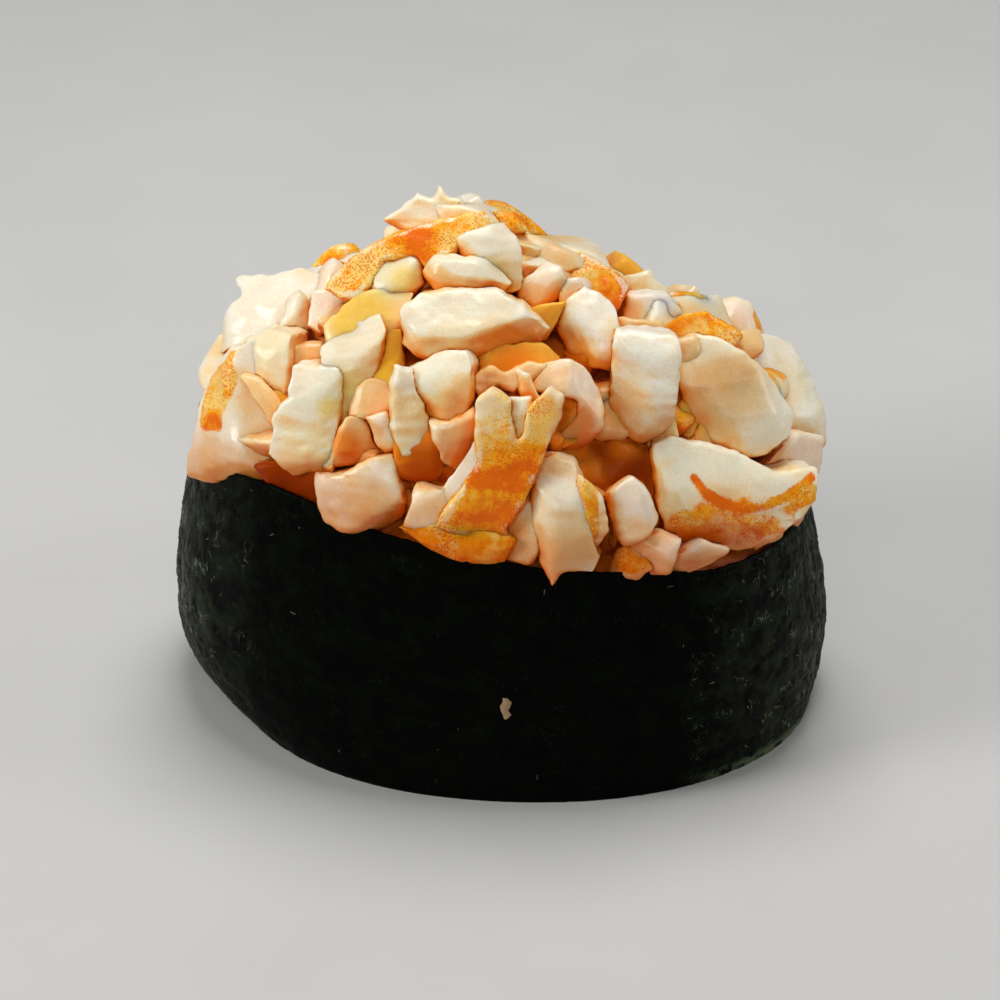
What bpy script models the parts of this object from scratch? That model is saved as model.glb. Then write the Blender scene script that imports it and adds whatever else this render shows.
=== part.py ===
"""Gunkan sushi: an oval ball of rice wrapped in a standing strip of seaweed, which
holds a heap of chopped cooked shellfish above its rim.

Run with: blender --background --python part.py
Sizes are in millimetres up here and become metres where a mesh is made. +Z is up,
+X runs along the sushi, -Y is its front, and the origin is the centre of its foot.
"""
import math
import random

import bmesh
import bpy
from mathutils import Matrix, Vector, noise

MM = 0.001

# The strip of seaweed: its outer outline in plan is a superellipse.
HALF_LENGTH = 28.5
HALF_WIDTH = 21.4
PLAN_POWER = 2.1
STRIP_HEIGHT = 25.6
STRIP_THICKNESS = 0.5
BELLY_LEVEL = 0.31
BELLY_SCALE = 1.05
RIM_SCALE = 0.963
FOOT_SCALE = 1.015
FOOT_TUCK = 0.16
RIM_SLOPE = 5.0
RIM_END_DROP = 6.0
RIM_BACK_RISE = 1.2
RIM_WAVE = 0.22

# Wrinkles in its face, deeper at the two ends than along the sides.
WRINKLE = 0.35
WRINKLE_SIZE = 6.25
WRINKLE_ALONG_SIDES = 0.35

# The strip goes once round and its ends overlap at the back left.
INNER_END = 124.0
OVERLAP = 22.0
EASE = 20.0
STRIP_STEPS = 96
STRIP_LEVELS = 8

# Space left between two pieces that touch.
GAP = 0.4

# The rice under the heap.
RICE_TOP = 14.0
RICE_CROWN = 1.6
RICE_LUMP = 0.5
RICE_LUMP_SIZE = 4.0
RICE_STEPS = 72
RICE_SIDE_RINGS = 5
RICE_TOP_RINGS = 5

# The heap: a dome over the rim, with a peak left of the middle.
HEAP_POWER = 2.9
HEAP_PLAN = 0.955
HEAP_RISE = 14.6
HEAP_SLOPE = 1.9
PEAK_RISE = 7.6
PEAK_AT = (-2.5, 1.0)
PEAK_SPREAD = (9.0, 13.0)
SHOULDER = 0.085
HEAP_LEAN = 1.5
CORE_DEPTH = 3.2
CORE_STEPS = 48
CORE_FLOOR = (0.3, 0.65, 1.0)
CORE_WALL = (0.5, 1.0)
CORE_WALL_BELOW_RIM = 1.0
CORE_CLIMBS = (15, 35, 55, 72, 84)
HEAP_SINK = 0.5
HEAP_VOXEL = 0.8
HEAP_TRIANGLES = 4800
KEEP_OUT = 0.85
KEEP_OUT_WALL = 6.0
KEEP_OUT_LOW = 0.3

# Seeded pieces fill the heap's back, in rows that climb it.
BACK_ROWS = (6, 20, 34, 48, 62, 76)
BACK_FROM = 40
BACK_TO = 172
BACK_COUNT = 8
BACK_PIECE = 7.4
BACK_DEPTH = 6.0
BACK_LENGTHS = (0.8, 1.3)
BACK_WIDTHS = (0.6, 0.9)
BACK_STANDS = (-0.4, 1.0)
SEED = 11

# Each piece is a block that narrows outwards and has slanted cuts.
PIECE_SLANT = (0.84, 1.06)
PIECE_TAPER = 0.86

# Pieces laid by hand over the heap's front, top and ends. Each row is: degrees round
# the heap, degrees up it, how far the piece stands out, the compass turn and the tilt
# that its broad face looks along, its turn in that face, then length, width and depth.
FRONT_PIECES = (
    (176, 86, 0.0, -85, 30, 5, 7.0, 2.8, 1.8),
    (-132, 80, 0.2, -100, 45, 38, 13.5, 4.0, 3.5),
    (-128, 76, 0.0, -90, 40, 10, 5.0, 4.0, 4.0),
    (-120, 62, 0.0, -85, 30, 60, 7.5, 5.5, 5.0),
    (-120, 54, 0.4, -95, 20, 75, 7.0, 4.5, 5.0),
    (176, 54, 0.0, -115, 35, 25, 7.5, 7.0, 7.0),
    (-160, 60, 0.2, -80, 15, 80, 4.5, 3.0, 5.0),
    (-150, 66, 0.0, -80, 40, 45, 4.0, 3.0, 4.0),
    (-142, 44, 0.0, -105, 15, 75, 7.0, 5.0, 6.0),
    (-123, 33, 0.0, -98, 8, 85, 8.0, 5.2, 6.0),
    (-145, 26, 0.2, -122, 12, 62, 11.5, 7.5, 7.0),
    (-132, 14, 0.2, -112, -4, 14, 13.5, 3.6, 6.0),
    (-108, 12, 0.0, -100, 12, 5, 7.0, 6.0, 6.0),
    (-102, 42, 0.2, -70, 10, 95, 7.8, 2.2, 4.0),
    (-94, 50, 0.2, -90, 25, 40, 6.5, 5.5, 6.0),
    (-90, 36, -0.7, -80, 5, 60, 5.0, 4.0, 5.0),
    (-80, 36, 0.6, -90, 10, 64, 13.5, 6.0, 3.5),
    (-94, 16, 0.0, -95, 10, 45, 5.5, 3.4, 4.0),
    (-90, 6, 0.0, -90, 5, -14, 9.5, 2.6, 4.0),
    (-88, 66, 0.5, -85, 20, -3, 12.0, 5.2, 6.5),
    (-92, 78, 0.2, -90, 35, -4, 7.3, 3.0, 5.0),
    (-76, 84, 0.3, -75, 40, -60, 6.0, 4.2, 5.0),
    (-6, 84, 0.0, -70, 55, -25, 6.8, 4.2, 4.0),
    (-46, 80, 0.2, -80, 35, 10, 3.8, 3.4, 4.0),
    (0, 78, 0.4, -60, 50, -42, 6.8, 3.0, 3.5),
    (-42, 70, 0.5, -80, 25, -70, 6.8, 4.6, 6.0),
    (6, 68, 0.0, -75, 55, -8, 5.0, 4.6, 4.0),
    (10, 62, 0.0, -60, 50, -20, 4.0, 3.8, 4.0),
    (26, 44, 0.0, -60, 45, -20, 5.6, 3.6, 6.0),
    (-10, 58, 0.2, -85, 35, -10, 6.5, 3.0, 5.0),
    (-18, 44, 1.0, -70, 25, -45, 11.5, 7.5, 7.0),
    (14, 28, 0.2, -35, 30, -78, 11.5, 5.6, 6.0),
    (-8, 22, 0.4, -40, 10, 5, 7.5, 3.2, 6.0),
    (-42, 52, 0.6, -80, 15, 85, 9.0, 5.2, 7.0),
    (-64, 50, -0.5, -75, 20, -60, 8.0, 6.0, 3.5),
    (-72, 16, 0.3, -85, 12, 98, 10.0, 4.8, 6.0),
    (-66, 22, 0.3, -65, 12, 105, 6.5, 2.0, 4.0),
    (-58, 20, 0.2, -80, 15, 75, 5.6, 3.6, 5.0),
    (-34, 22, 0.4, -70, 15, -15, 13.5, 8.5, 8.0),
    (-46, 6, 0.2, -75, 15, 15, 5.0, 2.4, 4.0),
    (-56, 8, 0.0, -85, 10, -10, 5.0, 3.2, 4.0),
    (8, 10, 0.0, -10, 10, 15, 9.0, 5.0, 5.0),
)

SEAWEED_COLOUR = (0.006, 0.010, 0.006, 1.0)
RICE_COLOUR = (0.80, 0.77, 0.68, 1.0)
SHELLFISH_COLOUR = (0.83, 0.58, 0.34, 1.0)


def smooth_step(value):
    """Ease from 0 to 1."""
    value = min(1.0, max(0.0, value))
    return value * value * (3.0 - 2.0 * value)


def signed_power(value, power):
    return math.copysign(abs(value) ** power, value)


def plan_point(angle):
    """Point on the strip's outline in plan, with angle in radians."""
    power = 2.0 / PLAN_POWER
    return Vector((HALF_LENGTH * signed_power(math.cos(angle), power),
                   HALF_WIDTH * signed_power(math.sin(angle), power)))


def plan_normal(angle):
    step = 0.01
    along = plan_point(angle + step) - plan_point(angle - step)
    return Vector((along.y, -along.x)).normalized()


def level_scale(angle, level):
    """How wide the strip is at a level, from 0 at its foot to 1 at its rim."""
    left = max(0.0, -plan_point(angle).x / HALF_LENGTH)
    if level > BELLY_LEVEL:
        fall = (level - BELLY_LEVEL) / (1.0 - BELLY_LEVEL)
        return BELLY_SCALE - (BELLY_SCALE - RIM_SCALE) * fall ** 2
    foot = FOOT_SCALE - FOOT_TUCK * left ** 2
    fall = (BELLY_LEVEL - level) / BELLY_LEVEL
    return BELLY_SCALE - (BELLY_SCALE - foot) * fall ** 2


def rim_height(angle):
    """The rim slopes down to the right and drops again at its left end."""
    point = plan_point(angle)
    end = point.x / HALF_LENGTH
    wave = RIM_WAVE * (math.sin(5.0 * angle + 0.6) + 0.6 * math.sin(11.0 * angle))
    slope = RIM_SLOPE * end + RIM_END_DROP * max(0.0, -end) ** 4
    return STRIP_HEIGHT - slope + RIM_BACK_RISE * point.y / HALF_WIDTH + wave


def wall_point(angle, level, inset):
    """Point on the strip's outer face, moved inwards by inset."""
    plan = plan_point(angle)
    height = rim_height(angle) * level
    spot = Vector((plan.x, plan.y, height)) / WRINKLE_SIZE
    depth = WRINKLE * (WRINKLE_ALONG_SIDES + abs(plan.x / HALF_LENGTH) ** 2)
    ripple = depth * noise.noise(spot) * math.sin(math.pi * min(1.0, level))
    flat = plan * level_scale(angle, level) + plan_normal(angle) * (ripple - inset)
    return Vector((flat.x, flat.y, height))


def lap_inset(turn):
    """How far the strip's first end is pressed in under its last, by degrees travelled."""
    under = 1.0 - smooth_step((turn - OVERLAP) / EASE)
    return (STRIP_THICKNESS + GAP) * under


def lining(angle, level, gap):
    """Point inside the wrapped strip, a gap away from its innermost layer."""
    turn = (math.degrees(angle) - INNER_END) % 360.0
    before = 360.0 - turn
    if before < EASE:
        turn = OVERLAP + max(0.0, before - EASE / 4.0)
    return wall_point(angle, level, STRIP_THICKNESS + gap + lap_inset(turn))


def heap_point(around, climb):
    """Point on the heap's outline, degrees round it and degrees up from the rim."""
    angle = math.radians(around)
    rise = math.radians(climb)
    spread = math.cos(rise) ** (2.0 / HEAP_POWER)
    lift = math.sin(rise)
    plan = plan_point(angle) * HEAP_PLAN
    end = plan.x / HALF_LENGTH
    bulge = max(0.0, math.sin(2.0 * rise)) ** 0.7
    swell = 1.0 + (SHOULDER * max(0.0, end) + SHOULDER / 4.0 * max(0.0, -end)) * bulge
    x = plan.x * spread * swell
    y = plan.y * spread * swell
    edge = spread ** 3
    base = rim_height(angle) * edge + STRIP_HEIGHT * (1.0 - edge) - HEAP_SINK
    away = ((x - PEAK_AT[0]) / PEAK_SPREAD[0]) ** 2 + ((y - PEAK_AT[1]) / PEAK_SPREAD[1]) ** 2
    top = HEAP_RISE + HEAP_SLOPE * x / HALF_LENGTH + PEAK_RISE * math.exp(-away)
    return Vector((x - HEAP_LEAN * lift, y, base + top * lift))


def facing(turn, tilt):
    """Direction with a compass turn and a tilt above the horizon, in degrees."""
    flat = math.cos(math.radians(tilt))
    return Vector((flat * math.cos(math.radians(turn)), flat * math.sin(math.radians(turn)),
                   math.sin(math.radians(tilt))))


def add_ring(mesh, points):
    return [mesh.verts.new(point * MM) for point in points]


def bridge(mesh, low, high):
    """Join two closed rings with a band of faces that look outwards."""
    count = len(low)
    for step in range(count):
        after = (step + 1) % count
        mesh.faces.new((low[step], low[after], high[after], high[step]))


def cap(mesh, ring, centre, upward):
    middle = mesh.verts.new(centre * MM)
    count = len(ring)
    for step in range(count):
        after = (step + 1) % count
        side = (ring[step], ring[after]) if upward else (ring[after], ring[step])
        mesh.faces.new((side[0], side[1], middle))


def make_material(name, colour, roughness):
    material = bpy.data.materials.new(name)
    material.use_nodes = True
    shader = material.node_tree.nodes["Principled BSDF"]
    shader.inputs["Base Color"].default_value = colour
    shader.inputs["Roughness"].default_value = roughness
    shader.inputs["Metallic"].default_value = 0.0
    return material


def make_object(name, mesh):
    """Turn a bmesh into an object of the scene."""
    data = bpy.data.meshes.new(name)
    mesh.to_mesh(data)
    mesh.free()
    item = bpy.data.objects.new(name, data)
    bpy.context.scene.collection.objects.link(item)
    return item


def make_band():
    """The strip as one closed skin: outer face, inner face and its four edges."""
    mesh = bmesh.new()
    travel = 360.0 + OVERLAP
    outer = []
    inner = []
    for step in range(STRIP_STEPS + 1):
        turn = travel * step / STRIP_STEPS
        angle = math.radians(INNER_END + turn)
        tuck = lap_inset(turn)
        levels = [row / STRIP_LEVELS for row in range(STRIP_LEVELS + 1)]
        outer.append(add_ring(mesh, [wall_point(angle, level, tuck) for level in levels]))
        inner.append(add_ring(mesh, [wall_point(angle, level, tuck + STRIP_THICKNESS)
                                     for level in levels]))
    for step in range(STRIP_STEPS):
        for row in range(STRIP_LEVELS):
            mesh.faces.new((outer[step][row], outer[step + 1][row],
                            outer[step + 1][row + 1], outer[step][row + 1]))
            mesh.faces.new((inner[step][row], inner[step][row + 1],
                            inner[step + 1][row + 1], inner[step + 1][row]))
        mesh.faces.new((outer[step][0], inner[step][0],
                        inner[step + 1][0], outer[step + 1][0]))
        mesh.faces.new((outer[step][-1], outer[step + 1][-1],
                        inner[step + 1][-1], inner[step][-1]))
    for row in range(STRIP_LEVELS):
        mesh.faces.new((outer[0][row], outer[0][row + 1], inner[0][row + 1], inner[0][row]))
        mesh.faces.new((outer[-1][row], inner[-1][row], inner[-1][row + 1], outer[-1][row + 1]))
    return make_object("nori_band", mesh)


def rice_ring(height, scale):
    """Ring of points on the rice, filling the strip at a height, or a share of it."""
    points = []
    for step in range(RICE_STEPS):
        angle = 2.0 * math.pi * step / RICE_STEPS
        side = lining(angle, height / rim_height(angle), GAP)
        points.append(Vector((side.x * scale, side.y * scale, height)))
    return points


def rice_top(x, y):
    """Height of the rice's uneven, slightly crowned top."""
    away = (x / HALF_LENGTH) ** 2 + (y / HALF_WIDTH) ** 2
    lump = RICE_LUMP * noise.noise(Vector((x / RICE_LUMP_SIZE, y / RICE_LUMP_SIZE, 3.0)))
    return RICE_TOP + RICE_CROWN * max(0.0, 1.0 - away) + lump * max(0.0, 1.0 - away)


def make_rice():
    """The ball of rice: a flat foot, walls that follow the strip and a crowned top."""
    mesh = bmesh.new()
    rings = []
    for row in range(RICE_SIDE_RINGS + 1):
        height = RICE_TOP * row / RICE_SIDE_RINGS
        rings.append(add_ring(mesh, rice_ring(height, 1.0)))
    for row in range(1, RICE_TOP_RINGS):
        flat = rice_ring(RICE_TOP, 1.0 - row / RICE_TOP_RINGS)
        points = [Vector((point.x, point.y, rice_top(point.x, point.y))) for point in flat]
        rings.append(add_ring(mesh, points))
    for low, high in zip(rings, rings[1:]):
        bridge(mesh, low, high)
    cap(mesh, rings[0], Vector((0.0, 0.0, 0.0)), False)
    cap(mesh, rings[-1], Vector((0.0, 0.0, rice_top(0.0, 0.0))), True)
    return make_object("rice_base", mesh)


def add_heap_core(mesh):
    """The inside of the heap: from the rice up through the strip to under the pieces."""
    rings = []
    angles = [360.0 * step / CORE_STEPS for step in range(CORE_STEPS)]
    shrink = 1.0 - CORE_DEPTH / HALF_WIDTH
    for share in CORE_FLOOR:
        points = []
        for around in angles:
            angle = math.radians(around)
            side = lining(angle, RICE_TOP / rim_height(angle), KEEP_OUT) * share
            height = rice_top(side.x, side.y) + KEEP_OUT
            points.append(Vector((side.x, side.y, height)))
        rings.append(add_ring(mesh, points))
    for level in CORE_WALL:
        points = []
        for around in angles:
            angle = math.radians(around)
            rim = rim_height(angle)
            height = RICE_TOP + (rim - CORE_WALL_BELOW_RIM - RICE_TOP) * level
            points.append(lining(angle, height / rim, KEEP_OUT))
        rings.append(add_ring(mesh, points))
    for climb in CORE_CLIMBS:
        points = []
        for around in angles:
            point = heap_point(around, climb)
            depth = CORE_DEPTH * math.sin(math.radians(climb))
            points.append(Vector((point.x * shrink, point.y * shrink, point.z - depth)))
        rings.append(add_ring(mesh, points))
    for low, high in zip(rings, rings[1:]):
        bridge(mesh, low, high)
    cap(mesh, rings[0], Vector((0.0, 0.0, rice_top(0.0, 0.0) + KEEP_OUT)), False)
    peak = heap_point(0.0, 90.0)
    cap(mesh, rings[-1], Vector((peak.x, peak.y, peak.z - CORE_DEPTH)), True)


def add_piece(mesh, dice, spot, outward, roll, size):
    """One chopped piece: a block with slanted cuts, its broad face looking outward."""
    across = Vector((-outward.y, outward.x, 0.0)).normalized()
    frame = Matrix((across, outward.cross(across), outward)).transposed().to_4x4()
    place = Matrix.Translation(spot) @ frame @ Matrix.Rotation(math.radians(roll), 4, "Z")
    corners = bmesh.ops.create_cube(mesh, size=1.0)["verts"]
    for corner in corners:
        slant = Vector((dice.uniform(*PIECE_SLANT), dice.uniform(*PIECE_SLANT), 1.0))
        narrow = PIECE_TAPER if corner.co.z > 0.0 else 1.0
        local = Vector((corner.co.x * size[0] * slant.x * narrow,
                        corner.co.y * size[1] * slant.y * narrow,
                        (corner.co.z - 0.5) * size[2]))
        corner.co = place @ local * MM


def add_front_pieces(mesh, dice):
    for around, climb, stand, turn, tilt, roll, length, width, depth in FRONT_PIECES:
        outward = facing(turn, tilt)
        spot = heap_point(around, climb) + outward * stand
        add_piece(mesh, dice, spot, outward, roll, (length, width, depth))


def add_back_pieces(mesh, dice):
    """Rows of pieces over the back, fewer in a row towards the peak."""
    for climb in BACK_ROWS:
        count = max(2, round(BACK_COUNT * math.cos(math.radians(climb)) ** 0.8))
        for step in range(count):
            share = (step + 0.5 + dice.uniform(-0.2, 0.2)) / count
            around = BACK_FROM + (BACK_TO - BACK_FROM) * share
            spot = heap_point(around, climb + dice.uniform(-4.0, 4.0))
            tilt = min(80.0, climb + dice.uniform(-15.0, 15.0))
            outward = facing(around + dice.uniform(-20.0, 20.0), tilt)
            length = BACK_PIECE * dice.uniform(*BACK_LENGTHS)
            width = BACK_PIECE * dice.uniform(*BACK_WIDTHS)
            spot += outward * dice.uniform(*BACK_STANDS)
            roll = dice.uniform(0.0, 180.0)
            add_piece(mesh, dice, spot, outward, roll, (length, width, BACK_DEPTH))


def make_keep_out():
    """A ring over and outside the strip that the heap is cut back from."""
    mesh = bmesh.new()
    rings = []
    for level, extra in ((KEEP_OUT_LOW, 0.0), (1.0, KEEP_OUT)):
        points = []
        for step in range(STRIP_STEPS):
            angle = 2.0 * math.pi * step / STRIP_STEPS
            side = lining(angle, level, KEEP_OUT)
            points.append(side + Vector((0.0, 0.0, extra)))
        rings.append(add_ring(mesh, points))
    for level, extra in ((1.0, KEEP_OUT), (KEEP_OUT_LOW, 0.0)):
        points = []
        for step in range(STRIP_STEPS):
            angle = 2.0 * math.pi * step / STRIP_STEPS
            side = wall_point(angle, level, -KEEP_OUT_WALL)
            points.append(side + Vector((0.0, 0.0, extra)))
        rings.append(add_ring(mesh, points))
    for low, high in zip(rings, rings[1:] + rings[:1]):
        bridge(mesh, low, high)
    bmesh.ops.recalc_face_normals(mesh, faces=mesh.faces)
    item = make_object("heap_keep_out", mesh)
    item.hide_render = True
    item.display_type = "WIRE"
    return item


def apply_modifiers(item):
    """Bake an object's modifiers into its mesh."""
    bpy.context.view_layer.update()
    seen = item.evaluated_get(bpy.context.evaluated_depsgraph_get())
    baked = bpy.data.meshes.new_from_object(seen)
    item.modifiers.clear()
    item.data = baked


def make_heap(keep_out):
    """The heap as one solid: core and pieces fused, then cut clear of the strip."""
    dice = random.Random(SEED)
    mesh = bmesh.new()
    add_heap_core(mesh)
    add_front_pieces(mesh, dice)
    add_back_pieces(mesh, dice)
    item = make_object("shellfish_heap", mesh)
    fuse = item.modifiers.new("fuse", "REMESH")
    fuse.mode = "VOXEL"
    fuse.voxel_size = HEAP_VOXEL * MM
    cut = item.modifiers.new("cut", "BOOLEAN")
    cut.operation = "DIFFERENCE"
    cut.object = keep_out
    even = item.modifiers.new("even", "REMESH")
    even.mode = "VOXEL"
    even.voxel_size = HEAP_VOXEL * MM
    apply_modifiers(item)
    thin = item.modifiers.new("thin", "DECIMATE")
    thin.ratio = HEAP_TRIANGLES / (2.0 * len(item.data.polygons))
    apply_modifiers(item)
    return item


def main():
    for item in list(bpy.data.objects):
        bpy.data.objects.remove(item)
    band = make_band()
    rice = make_rice()
    heap = make_heap(make_keep_out())
    band.data.materials.append(make_material("seaweed", SEAWEED_COLOUR, 0.42))
    rice.data.materials.append(make_material("rice", RICE_COLOUR, 0.5))
    heap.data.materials.append(make_material("shellfish", SHELLFISH_COLOUR, 0.35))
    for item in (band, rice, heap):
        item.data.shade_smooth()


main()
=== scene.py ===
import math
import random

import bmesh
import bpy
import numpy as np
from mathutils import Matrix, Vector, noise
from mathutils.bvhtree import BVHTree
from mathutils.geometry import tessellate_polygon


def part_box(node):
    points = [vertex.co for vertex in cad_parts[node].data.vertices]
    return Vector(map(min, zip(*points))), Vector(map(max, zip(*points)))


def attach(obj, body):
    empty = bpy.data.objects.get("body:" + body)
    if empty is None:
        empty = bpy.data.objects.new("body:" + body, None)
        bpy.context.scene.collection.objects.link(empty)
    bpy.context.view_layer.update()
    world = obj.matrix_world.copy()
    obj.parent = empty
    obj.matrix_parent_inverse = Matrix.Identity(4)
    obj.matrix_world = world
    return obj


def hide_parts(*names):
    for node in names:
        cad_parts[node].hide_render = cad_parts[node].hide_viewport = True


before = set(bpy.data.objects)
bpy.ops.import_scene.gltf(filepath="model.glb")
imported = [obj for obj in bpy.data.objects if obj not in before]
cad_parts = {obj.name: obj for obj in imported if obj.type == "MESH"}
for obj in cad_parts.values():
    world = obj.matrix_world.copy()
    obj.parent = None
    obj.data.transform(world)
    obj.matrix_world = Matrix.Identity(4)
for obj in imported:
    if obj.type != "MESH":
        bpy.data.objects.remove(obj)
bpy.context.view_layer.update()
mm = 0.001


# ---- small tools for node trees

class treeValue:
    # a number inside a node tree, which takes ordinary arithmetic
    def __init__(self, tree, socket):
        self.tree, self.socket = tree, socket

    def __add__(self, other):
        return calc(self.tree, "ADD", self, other)

    def __sub__(self, other):
        return calc(self.tree, "SUBTRACT", self, other)

    def __rsub__(self, other):
        return calc(self.tree, "SUBTRACT", other, self)

    def __mul__(self, other):
        return calc(self.tree, "MULTIPLY", self, other)

    def __truediv__(self, other):
        return calc(self.tree, "DIVIDE", self, other)

    def __rtruediv__(self, other):
        return calc(self.tree, "DIVIDE", other, self)

    def __pow__(self, power):
        return calc(self.tree, "POWER", self, power)

    def __abs__(self):
        return calc(self.tree, "ABSOLUTE", self)


def plug(tree, value, socket):
    # links what comes from the tree, and sets what is a plain value
    if isinstance(value, treeValue):
        value = value.socket
    if isinstance(value, bpy.types.NodeSocket):
        tree.links.new(value, socket)
    else:
        socket.default_value = value


def addNode(tree, kind, feeds=None, **settings):
    node = tree.nodes.new(kind)
    for name, value in settings.items():
        setattr(node, name, value)
    for socket, value in (feeds or {}).items():
        plug(tree, value, node.inputs[socket])
    return node


def calc(tree, operation, *values):
    node = addNode(tree, "ShaderNodeMath", dict(enumerate(values)), operation=operation)
    return treeValue(tree, node.outputs[0])


def mapRange(tree, value, low, high, newLow=0.0, newHigh=1.0):
    feeds = {0: value, 1: low, 2: high, 3: newLow, 4: newHigh}
    node = addNode(tree, "ShaderNodeMapRange", feeds, interpolation_type="SMOOTHSTEP")
    return treeValue(tree, node.outputs[0])


def splitXYZ(tree, vector):
    node = addNode(tree, "ShaderNodeSeparateXYZ", {0: vector})
    return [treeValue(tree, socket) for socket in node.outputs]


def joinXYZ(tree, x, y, z=0.0):
    return addNode(tree, "ShaderNodeCombineXYZ", {0: x, 1: y, 2: z}).outputs[0]


def srgb(red, green, blue):
    # screen colour, 0 to 255, as the linear values that a shader wants
    shown = [value / 255 for value in (red, green, blue)]
    return [v / 12.92 if v <= 0.04045 else ((v + 0.055) / 1.055) ** 2.4 for v in shown] + [1.0]


def newGeometryTree(name, inputs):
    # inputs: name -> (socket type, default)
    tree = bpy.data.node_groups.new(name, "GeometryNodeTree")
    tree.interface.new_socket(name="Geometry", in_out="INPUT", socket_type="NodeSocketGeometry")
    tree.interface.new_socket(name="Geometry", in_out="OUTPUT", socket_type="NodeSocketGeometry")
    for title, (kind, default) in inputs.items():
        socket = tree.interface.new_socket(name=title, in_out="INPUT", socket_type=kind)
        if default is not None:
            socket.default_value = default
    given = tree.nodes.new("NodeGroupInput").outputs
    return tree, {socket.name: treeValue(tree, socket) for socket in given if socket.name}


def namedInputs(*names):
    # numbers by name, and the seed and material that every strewing tree takes
    inputs = {name: ("NodeSocketFloat", 0.0) for name in names}
    return inputs | {"seed": ("NodeSocketInt", 0), "material": ("NodeSocketMaterial", None)}


def position(tree):
    return tree.nodes.new("GeometryNodeInputPosition").outputs[0]


def scatterPoints(tree, g, feeds, **settings):
    feeds = {"Mesh": g["Geometry"], "Seed": g["seed"]} | feeds
    return addNode(tree, "GeometryNodeDistributePointsOnFaces", feeds, **settings)


def strewOn(tree, g, points, spots, piece, least, most, size, pick=False):
    # a piece on every spot, standing on the face there and turned between two turns
    face = addNode(tree, "FunctionNodeAlignRotationToVector",
                   {"Vector": points.outputs["Normal"]}, axis="Z")
    turn = addNode(tree, "FunctionNodeRandomValue",
                   {"Min": least, "Max": most, "Seed": g["seed"]}, data_type="FLOAT_VECTOR")
    spun = addNode(tree, "FunctionNodeRotateRotation",
                   {0: face.outputs[0], 1: turn.outputs[0]}, rotation_space="LOCAL")
    laid = addNode(tree, "GeometryNodeInstanceOnPoints",
                   {"Points": spots, "Instance": piece, "Pick Instance": pick,
                    "Rotation": spun.outputs[0], "Scale": size})
    return addNode(tree, "GeometryNodeRealizeInstances", {0: laid.outputs[0]}).outputs[0]


def randomSize(tree, g, least, most):
    node = addNode(tree, "FunctionNodeRandomValue", {2: least, 3: most, "Seed": g["seed"]},
                   data_type="FLOAT")
    return treeValue(tree, node.outputs[1])


def endTree(tree, g, geometry):
    dressed = addNode(tree, "GeometryNodeSetMaterial",
                      {"Geometry": geometry, "Material": g["material"]})
    plug(tree, dressed.outputs[0], tree.nodes.new("NodeGroupOutput").inputs[0])
    return tree


def runGeometry(name, tree, start=None, **values):
    # evaluates a tree once and keeps the result as a plain mesh
    holder = bpy.data.objects.new(name + "Holder", start or bpy.data.meshes.new(name + "Start"))
    bpy.context.scene.collection.objects.link(holder)
    modifier = holder.modifiers.new("nodes", "NODES")
    modifier.node_group = tree
    for socket in tree.interface.items_tree:
        if socket.in_out == "INPUT" and socket.name in values:
            modifier[socket.identifier] = values[socket.name]
    bpy.context.view_layer.update()
    seen = holder.evaluated_get(bpy.context.evaluated_depsgraph_get())
    result = bpy.data.meshes.new_from_object(seen)
    holder.modifiers.clear()
    bpy.data.objects.remove(holder)
    result.name = name
    return result


def evaluated(mesh, kind, **settings):
    # applies one modifier to a mesh, which it uses up
    holder = bpy.data.objects.new("holder", mesh)
    bpy.context.scene.collection.objects.link(holder)
    modifier = holder.modifiers.new(kind, kind)
    for name, value in settings.items():
        setattr(modifier, name, value)
    bpy.context.view_layer.update()
    seen = holder.evaluated_get(bpy.context.evaluated_depsgraph_get())
    result = bpy.data.meshes.new_from_object(seen)
    bpy.data.objects.remove(holder)
    bpy.data.meshes.remove(mesh)
    return result


def putPiece(name, mesh, node=None):
    item = bpy.data.objects.new(name, mesh)
    bpy.context.scene.collection.objects.link(item)
    if node:
        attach(item, "root")
        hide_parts(node)
    return item


def smoothStep(value, low=0.0, high=1.0):
    share = np.clip((np.asarray(value, float) - low) / (high - low), 0, 1)
    return share * share * (3 - 2 * share)


# ---- the shapes that everything follows, in millimetres

bandShape = {
    "planPower": 2.1,
    "stripHeight": 25.6,
    "bellyLevel": 0.31,
    "bellyScale": 1.05,
    "rimScale": 0.963,
    "footScale": 1.015,
    "footTuck": 0.16,
    "rimSlope": 5.0,
    "endDrop": 6.0,
    "backRise": 1.2,
    "rimWave": 0.22,
    "thickness": 0.32,
    "lapGap": 0.4,
    "innerEnd": 124.0,      # degrees round, where the strip starts
    "overlap": 22.0,
    "ease": 20.0,
    "rippleSize": 5.5,
    "rippleHeight": 1.1,
    "creaseSize": 1.7,
    "creaseHeight": 1.3,
    "nickHeight": 0.16,
    "stepsRound": 520,
    "stepsUp": 92,
}
noriLow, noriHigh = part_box("nori_band")
bandShape["halfLength"] = (noriHigh.x - noriLow.x) / 2 / bandShape["bellyScale"] / mm
bandShape["halfWidth"] = (noriHigh.y - noriLow.y) / 2 / bandShape["bellyScale"] / mm

heapShape = {
    "power": 2.9,
    "plan": 0.955,
    "rise": 14.6,
    "slope": 1.9,
    "peakRise": 7.6,
    "peakAt": (-2.5, 1.0),
    "peakSpread": (9.0, 13.0),
    "shoulder": 0.085,
    "lean": 1.5,
}


def planPoint(angle):
    power = 2 / bandShape["planPower"]
    c, s = math.cos(angle), math.sin(angle)
    return Vector((bandShape["halfLength"] * math.copysign(abs(c) ** power, c),
                   bandShape["halfWidth"] * math.copysign(abs(s) ** power, s)))


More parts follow.
